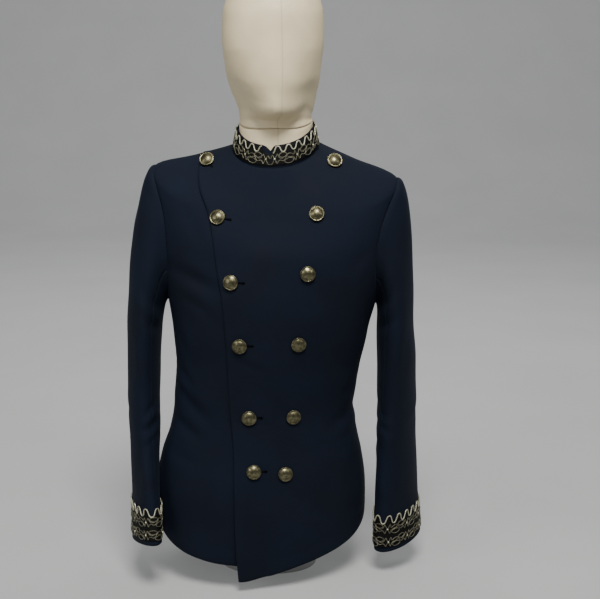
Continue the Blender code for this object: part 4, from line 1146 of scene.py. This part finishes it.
for number, places in enumerate(buttonRows, 1):
    for side, sign, (height, distance) in (("right", -1, places[:2]), ("left", 1, places[2:])):
        angle = angleAt(scan, distance, sign)
        path, normal = frontPoint(scan, angle)
        row = int(np.argmin(np.abs(path[:, 2] - height)))
        name = f"button_{side}_{number}"
        seat, axis, profile = path[row] + seamGap * normal[row], normal[row], np.array(buttonProfile)
        if number == 1:
            # The top pair hangs from a longer shank, its face tipped forwards on the shoulder's slope.
            tip = math.radians(topButton["tip"])
            forward = unit(np.array((0.0, -1.0, 0.0)) + axis[1] * axis)
            seat = seat + profile[1, 0] * math.sin(tip) * axis
            axis = math.cos(tip) * axis + math.sin(tip) * forward
            profile[2:, 1] += topButton["shank"]
        button = turnedPiece(name + "_dome", seat[None], axis[None], profile, 48, brassFinish, "button")
        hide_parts(name)
        if side == "right":
            # A worked buttonhole runs level from under the button towards the centre front.
            reach = np.linspace(-hole["start"], hole["end"], 80)
            level = scan[row]
            share = hole["topShare"] if number == 1 else 1.0  # a level line is longer on the shoulder
            swing = angleAt(level, np.maximum(distance - reach * share, 0.5), -1)
            line, away = frontPoint(level + 0 * reach, swing)
            up = unit(np.cross(away, np.gradient(line, axis=0)))
            up = up * np.sign(up[:, 2:].mean())
            ends = np.clip(1 - np.abs(np.linspace(-1, 1, 80))**16, 0, 1)**0.5
            eye = np.exp(-((reach - hole["end"] + 2.6) / 2.2)**2) * (hole["eye"] - hole["gap"])
            half = ((hole["gap"] + eye) * ends)[:, None]
            ring = np.concatenate((line + up * half, (line - up * half)[::-1]))
            outward = np.concatenate((away, away[::-1]))
            holes.append((ring + hole["lift"] * outward, outward))
            # The slit is a near-black sheet just above the cloth: painted shade where the opening is.
            slit = np.stack((line - up * half, line, line + up * half), 0)
            clothPiece(f"buttonhole_slit_{number}", slit + 0.22 * away, slit + 0.05 * away, slitShadeFinish)
cordPiece("buttonhole_thread", *zip(*holes), hole["thread"], threadFinish, "wool")
print("buttons and buttonholes made")

# The display form
# How far the form lies inside the coat's outer face, and the sections of its foot and its head:
# height, centre, half width, depth to the front and to the back.
formInset = {"hip": 13.0, "lowWaist": 12.0, "waist": 10.0, "ribs": 10.0, "sideChest": 10.0,
             "armpit": 9.0, "armMiddle": 8.5, "shoulder": 9.0, "yoke": 2.6, "neckline": 2.6}
footRows = ((-748, -8, 4, 88, 66, 68), (-735, -8, 4, 88, 66, 68), (-695, -8, 4, 82, 62, 64),
            (-655, -10, 3, 92, 68, 72), (-624, -14, 2, 124, 86, 92), (-598, -18, 1, 150, 98, 106),
            (-576, -20, 0, 163, 103, 112))
headRows = ((58, 4, 8, 60, 50, 58), (66, 4, 7, 61, 68, 60), (74, 5, 6, 63, 89, 64),
            (88, 4, 6, 67, 95, 76), (104, 2, 6, 72, 95, 88), (122, 1, 6, 77, 96, 94),
            (150, 0, 6, 81, 95, 100), (190, 0, 6, 85, 92, 103), (225, 0, 6, 84, 87, 100),
            (252, 0, 6, 78, 78, 91), (275, 0, 6, 65, 64, 75), (291, 0, 6, 42, 42, 50),
            (297, 0, 6, 23, 23, 28), (299, 0, 6, 0.6, 0.6, 0.7))
# The head's front is narrower at the chin: the power of its sections at each height. The jaw's
# lower edge is drawn down in the middle and rises towards each side.
chin = ((58, 72, 84, 120, 170), (2.1, 1.5, 1.5, 1.85, 2.2))
jaw = {"rise": 14.0, "drop": 5.0, "height": 80.0, "below": 16.0, "above": 38.0}
# Where the head's foot meets the neck: the joint's height at the sides, how much higher it is in
# front, its flare, the drawn-in lips that show as a line, and the least step between head rings.
neckJoint = {"side": 46.0, "rise": 20.0, "flare": 1.5, "lip": 0.012, "gap": 1.9, "step": 0.25}
formTurn = np.arange(144) * 2 * math.pi / 144


def roundRings(rows, count, power=2.2, frontPower=None):
    # Superellipse sections, taken at even steps along the side's own outline. frontPower holds
    # heights and the front half's power at each, lower for a narrower front.
    rows = np.array(rows, float)
    line = np.concatenate(([0.0], np.cumsum(np.hypot(np.diff(rows[:, 3]), np.diff(rows[:, 0])))))
    at = np.linspace(0, line[-1], count)[:, None]
    z, x, y, width, front, back = (smoothTable(line, rows[:, i], at) for i in range(6))
    cosine, sine = np.cos(formTurn), np.sin(formTurn)
    depth = np.where(sine >= 0, front, back)
    if frontPower is not None:
        power = np.where(sine >= 0, smoothTable(*frontPower, z), power)
    radius = ((np.abs(cosine) / width)**power + (np.abs(sine) / depth)**power)**(-1 / power)
    return np.stack((x + radius * cosine, y - radius * sine, z + 0 * radius), -1)


def stackPiece(name, rings, finish):
    # Rings joined from the bottom up and closed with a fan at each end.
    count, sides = rings.shape[:2]
    points = np.concatenate((rings.reshape(-1, 3), [rings[0].mean(0), rings[-1].mean(0)]))
    k = np.arange(sides)
    n = (k + 1) % sides
    low = np.stack((n, k, 0 * k + count * sides), -1)
    high = np.stack(((count - 1) * sides + k, (count - 1) * sides + n, 0 * k + count * sides + 1), -1)
    faces = gridFaces(count, sides, closed=True)
    return makePiece(name, points, faces, finish, triangles=np.concatenate((low, high)))


inside = np.linspace(levelOf["hip"], topLevel, 110)
inset = smoothTable([levelOf[name] for name in formInset], list(formInset.values()), inside)
surface, normal = smoothPoint(inside[:, None], formTurn), bodyNormal(inside[:, None], formTurn)
chest = surface - inset[:, None, None] * normal
chest[-1] = smoothPoint(topLevel, formTurn) - inset[-1] * neckMitre(formTurn)
jointHeight = neckJoint["side"] + neckJoint["rise"] * np.clip(np.sin(formTurn), 0, 1)[:, None]**2
collarHeight, flare = collar["front"], neckJoint["flare"]
neckRows = ((9.0, 0.0), (20.0, 0.0), (collarHeight, 0.0), ((collarHeight + jointHeight) / 2, 0.8),
            (jointHeight - 1.1, flare), (jointHeight - 0.3, flare))
neck = np.array([smoothPoint(topLevel, formTurn) + h * collarClimb(formTurn)
                 - (clothWall + 0.8 - out) * collarNormal(formTurn) for h, out in neckRows])


def drawnIn(ring):
    # The ring moved level towards its own middle by the lip's share.
    return ring + (ring.mean(0) - ring) * (1, 1, 0) * neckJoint["lip"]


neck[-1] = drawnIn(neck[-1])
formRings = np.concatenate((roundRings(footRows, 56), chest, neck))
formBody = stackPiece("form_body_shell", formRings, formFinish)
base = neck[-2] + (0.0, 0.0, neckJoint["gap"])
head = roundRings(headRows, 120, frontPower=chin)
forward = np.clip(np.sin(formTurn), 0, 1)
aboveJaw = head[..., 2] - jaw["height"]
nearJaw = np.exp(-(aboveJaw / np.where(aboveJaw > 0, jaw["above"], jaw["below"]))**2)
# A sine squared times a cosine to the fourth is 4/27 at most, so 6.75 brings it to 1.
shape = jaw["rise"] * 6.75 * forward**2 * np.cos(formTurn)**4 - jaw["drop"] * forward**6
head[..., 2] += nearJaw * shape
least = base[:, 2] + 2.0 + neckJoint["step"] * np.arange(120)[:, None]
head[..., 2] = np.maximum(head[..., 2], least)
share = np.array((0.25, 0.5, 0.75))[:, None, None]
joint = base[None] * (1 - share) + head[:1] * share
head = np.concatenate((drawnIn(base)[None], base[None], joint, head))
formHead = stackPiece("form_head_shell", head, formFinish)
print("form made")

# What each piece stands for
panels = {"front_left": frontLeft, "front_right": frontRight, "back_left": backLeft,
          "back_right": backRight, **sleeves}
others = {"collar": collarCloth, "collar_braid": collarGround, "form_body": formBody,
          "form_head": formHead}
for name, piece in {**panels, **others}.items():
    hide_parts(name)
for side in ("left", "right"):
    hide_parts("cuff_braid_" + side)

# The flat cut of what shows: width, length and area in metres
def trimming(*starts):
    # The cords, loops, beads and stitches whose names begin so.
    return [piece for piece in bpy.data.objects if piece.name.startswith(starts)]


cuts = {
    "front_left": (0.374, 0.841, 0.221), "front_right": (0.327, 0.822, 0.200),
    "back_left": (0.265, 0.821, 0.155), "back_right": (0.264, 0.842, 0.155),
    "top_sleeve_left": (0.381, 0.670, 0.126), "under_sleeve_left": (0.191, 0.531, 0.065),
    "top_sleeve_right": (0.389, 0.680, 0.123), "under_sleeve_right": (0.202, 0.544, 0.063),
}
for name, (width, length, area) in cuts.items():
    stitches = trimming("buttonhole_") if name == "front_left" else ()
for side, width, length, area in (("left", 0.301, 0.061, 0.0148), ("right", 0.289, 0.062, 0.0142)):
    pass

# Floor and soft studio light
studio = {"world": 0.19, "key": 140.0, "fill": 34.0, "side": 12.0, "rim": 8.0, "backdrop": 104.0}
run = np.linspace(0, 1, 60)
bend = np.clip((run - 0.3) / 0.35, 0, 1) * math.pi / 2
sweepY = -4.0 + 8.0 * np.clip(run / 0.3, 0, 1) + 2.5 * np.sin(bend)
sweepZ = 2.5 * (1 - np.cos(bend)) + 5.0 * np.clip((run - 0.65) / 0.35, 0, 1)
sweepX = np.array((-9.0, 9.0))
sweep = np.stack(np.broadcast_arrays(sweepX[None], sweepY[:, None], sweepZ[:, None]), -1)
floorMesh = bpy.data.meshes.new("floor")
floorMesh.from_pydata(sweep.reshape(-1, 3).tolist(), [], gridFaces(60, 2).tolist())
floorMesh.shade_smooth()
floor = bpy.data.objects.new("floor", floorMesh)
bpy.context.scene.collection.objects.link(floor)
floorFinish = Finish("pale_floor", Roughness=0.9, Emission_Color=(0.86, 0.88, 0.875, 1.0),
                     Emission_Strength=0.14)
scuffs = floorFinish.noise(floorFinish.place(own=False), 3.0)
floorFinish.feed(Base_Color=floorFinish.ramp(scuffs, (0.3, (0.31, 0.318, 0.315)),
                                             (0.7, (0.335, 0.343, 0.34))))
floorMesh.materials.append(floorFinish.material)

world = bpy.data.worlds.new("studio")
world.use_nodes = True
world.node_tree.nodes["Background"].inputs[0].default_value = (0.46, 0.465, 0.47, 1.0)
world.node_tree.nodes["Background"].inputs[1].default_value = studio["world"]
bpy.context.scene.world = world


def softLight(name, place, target, size, power, colour=(1.0, 1.0, 1.0)):
    # A square lamp that faces its target.
    lamp = bpy.data.lights.new(name, "AREA")
    lamp.energy, lamp.size, lamp.color = power, size, colour
    made = bpy.data.objects.new(name, lamp)
    made.location = place
    made.rotation_euler = (Vector(target) - Vector(place)).to_track_quat("-Z", "Y").to_euler()
    bpy.context.scene.collection.objects.link(made)


softLight("key", (0.15, -1.6, 3.1), (0.0, 0.0, 0.75), 1.1, studio["key"], (1.0, 0.985, 0.95))
softLight("fill", (-2.6, -1.9, 1.8), (0.0, 0.0, 0.6), 1.4, studio["fill"])
softLight("side", (2.4, -1.6, 2.0), (0.1, 0.0, 0.8), 1.2, studio["side"])
softLight("rim", (1.6, 1.6, 2.4), (0.0, 0.0, 0.7), 1.2, studio["rim"])
softLight("backdrop", (0.0, 1.3, 3.4), (0.0, 5.5, 0.9), 2.0, studio["backdrop"])
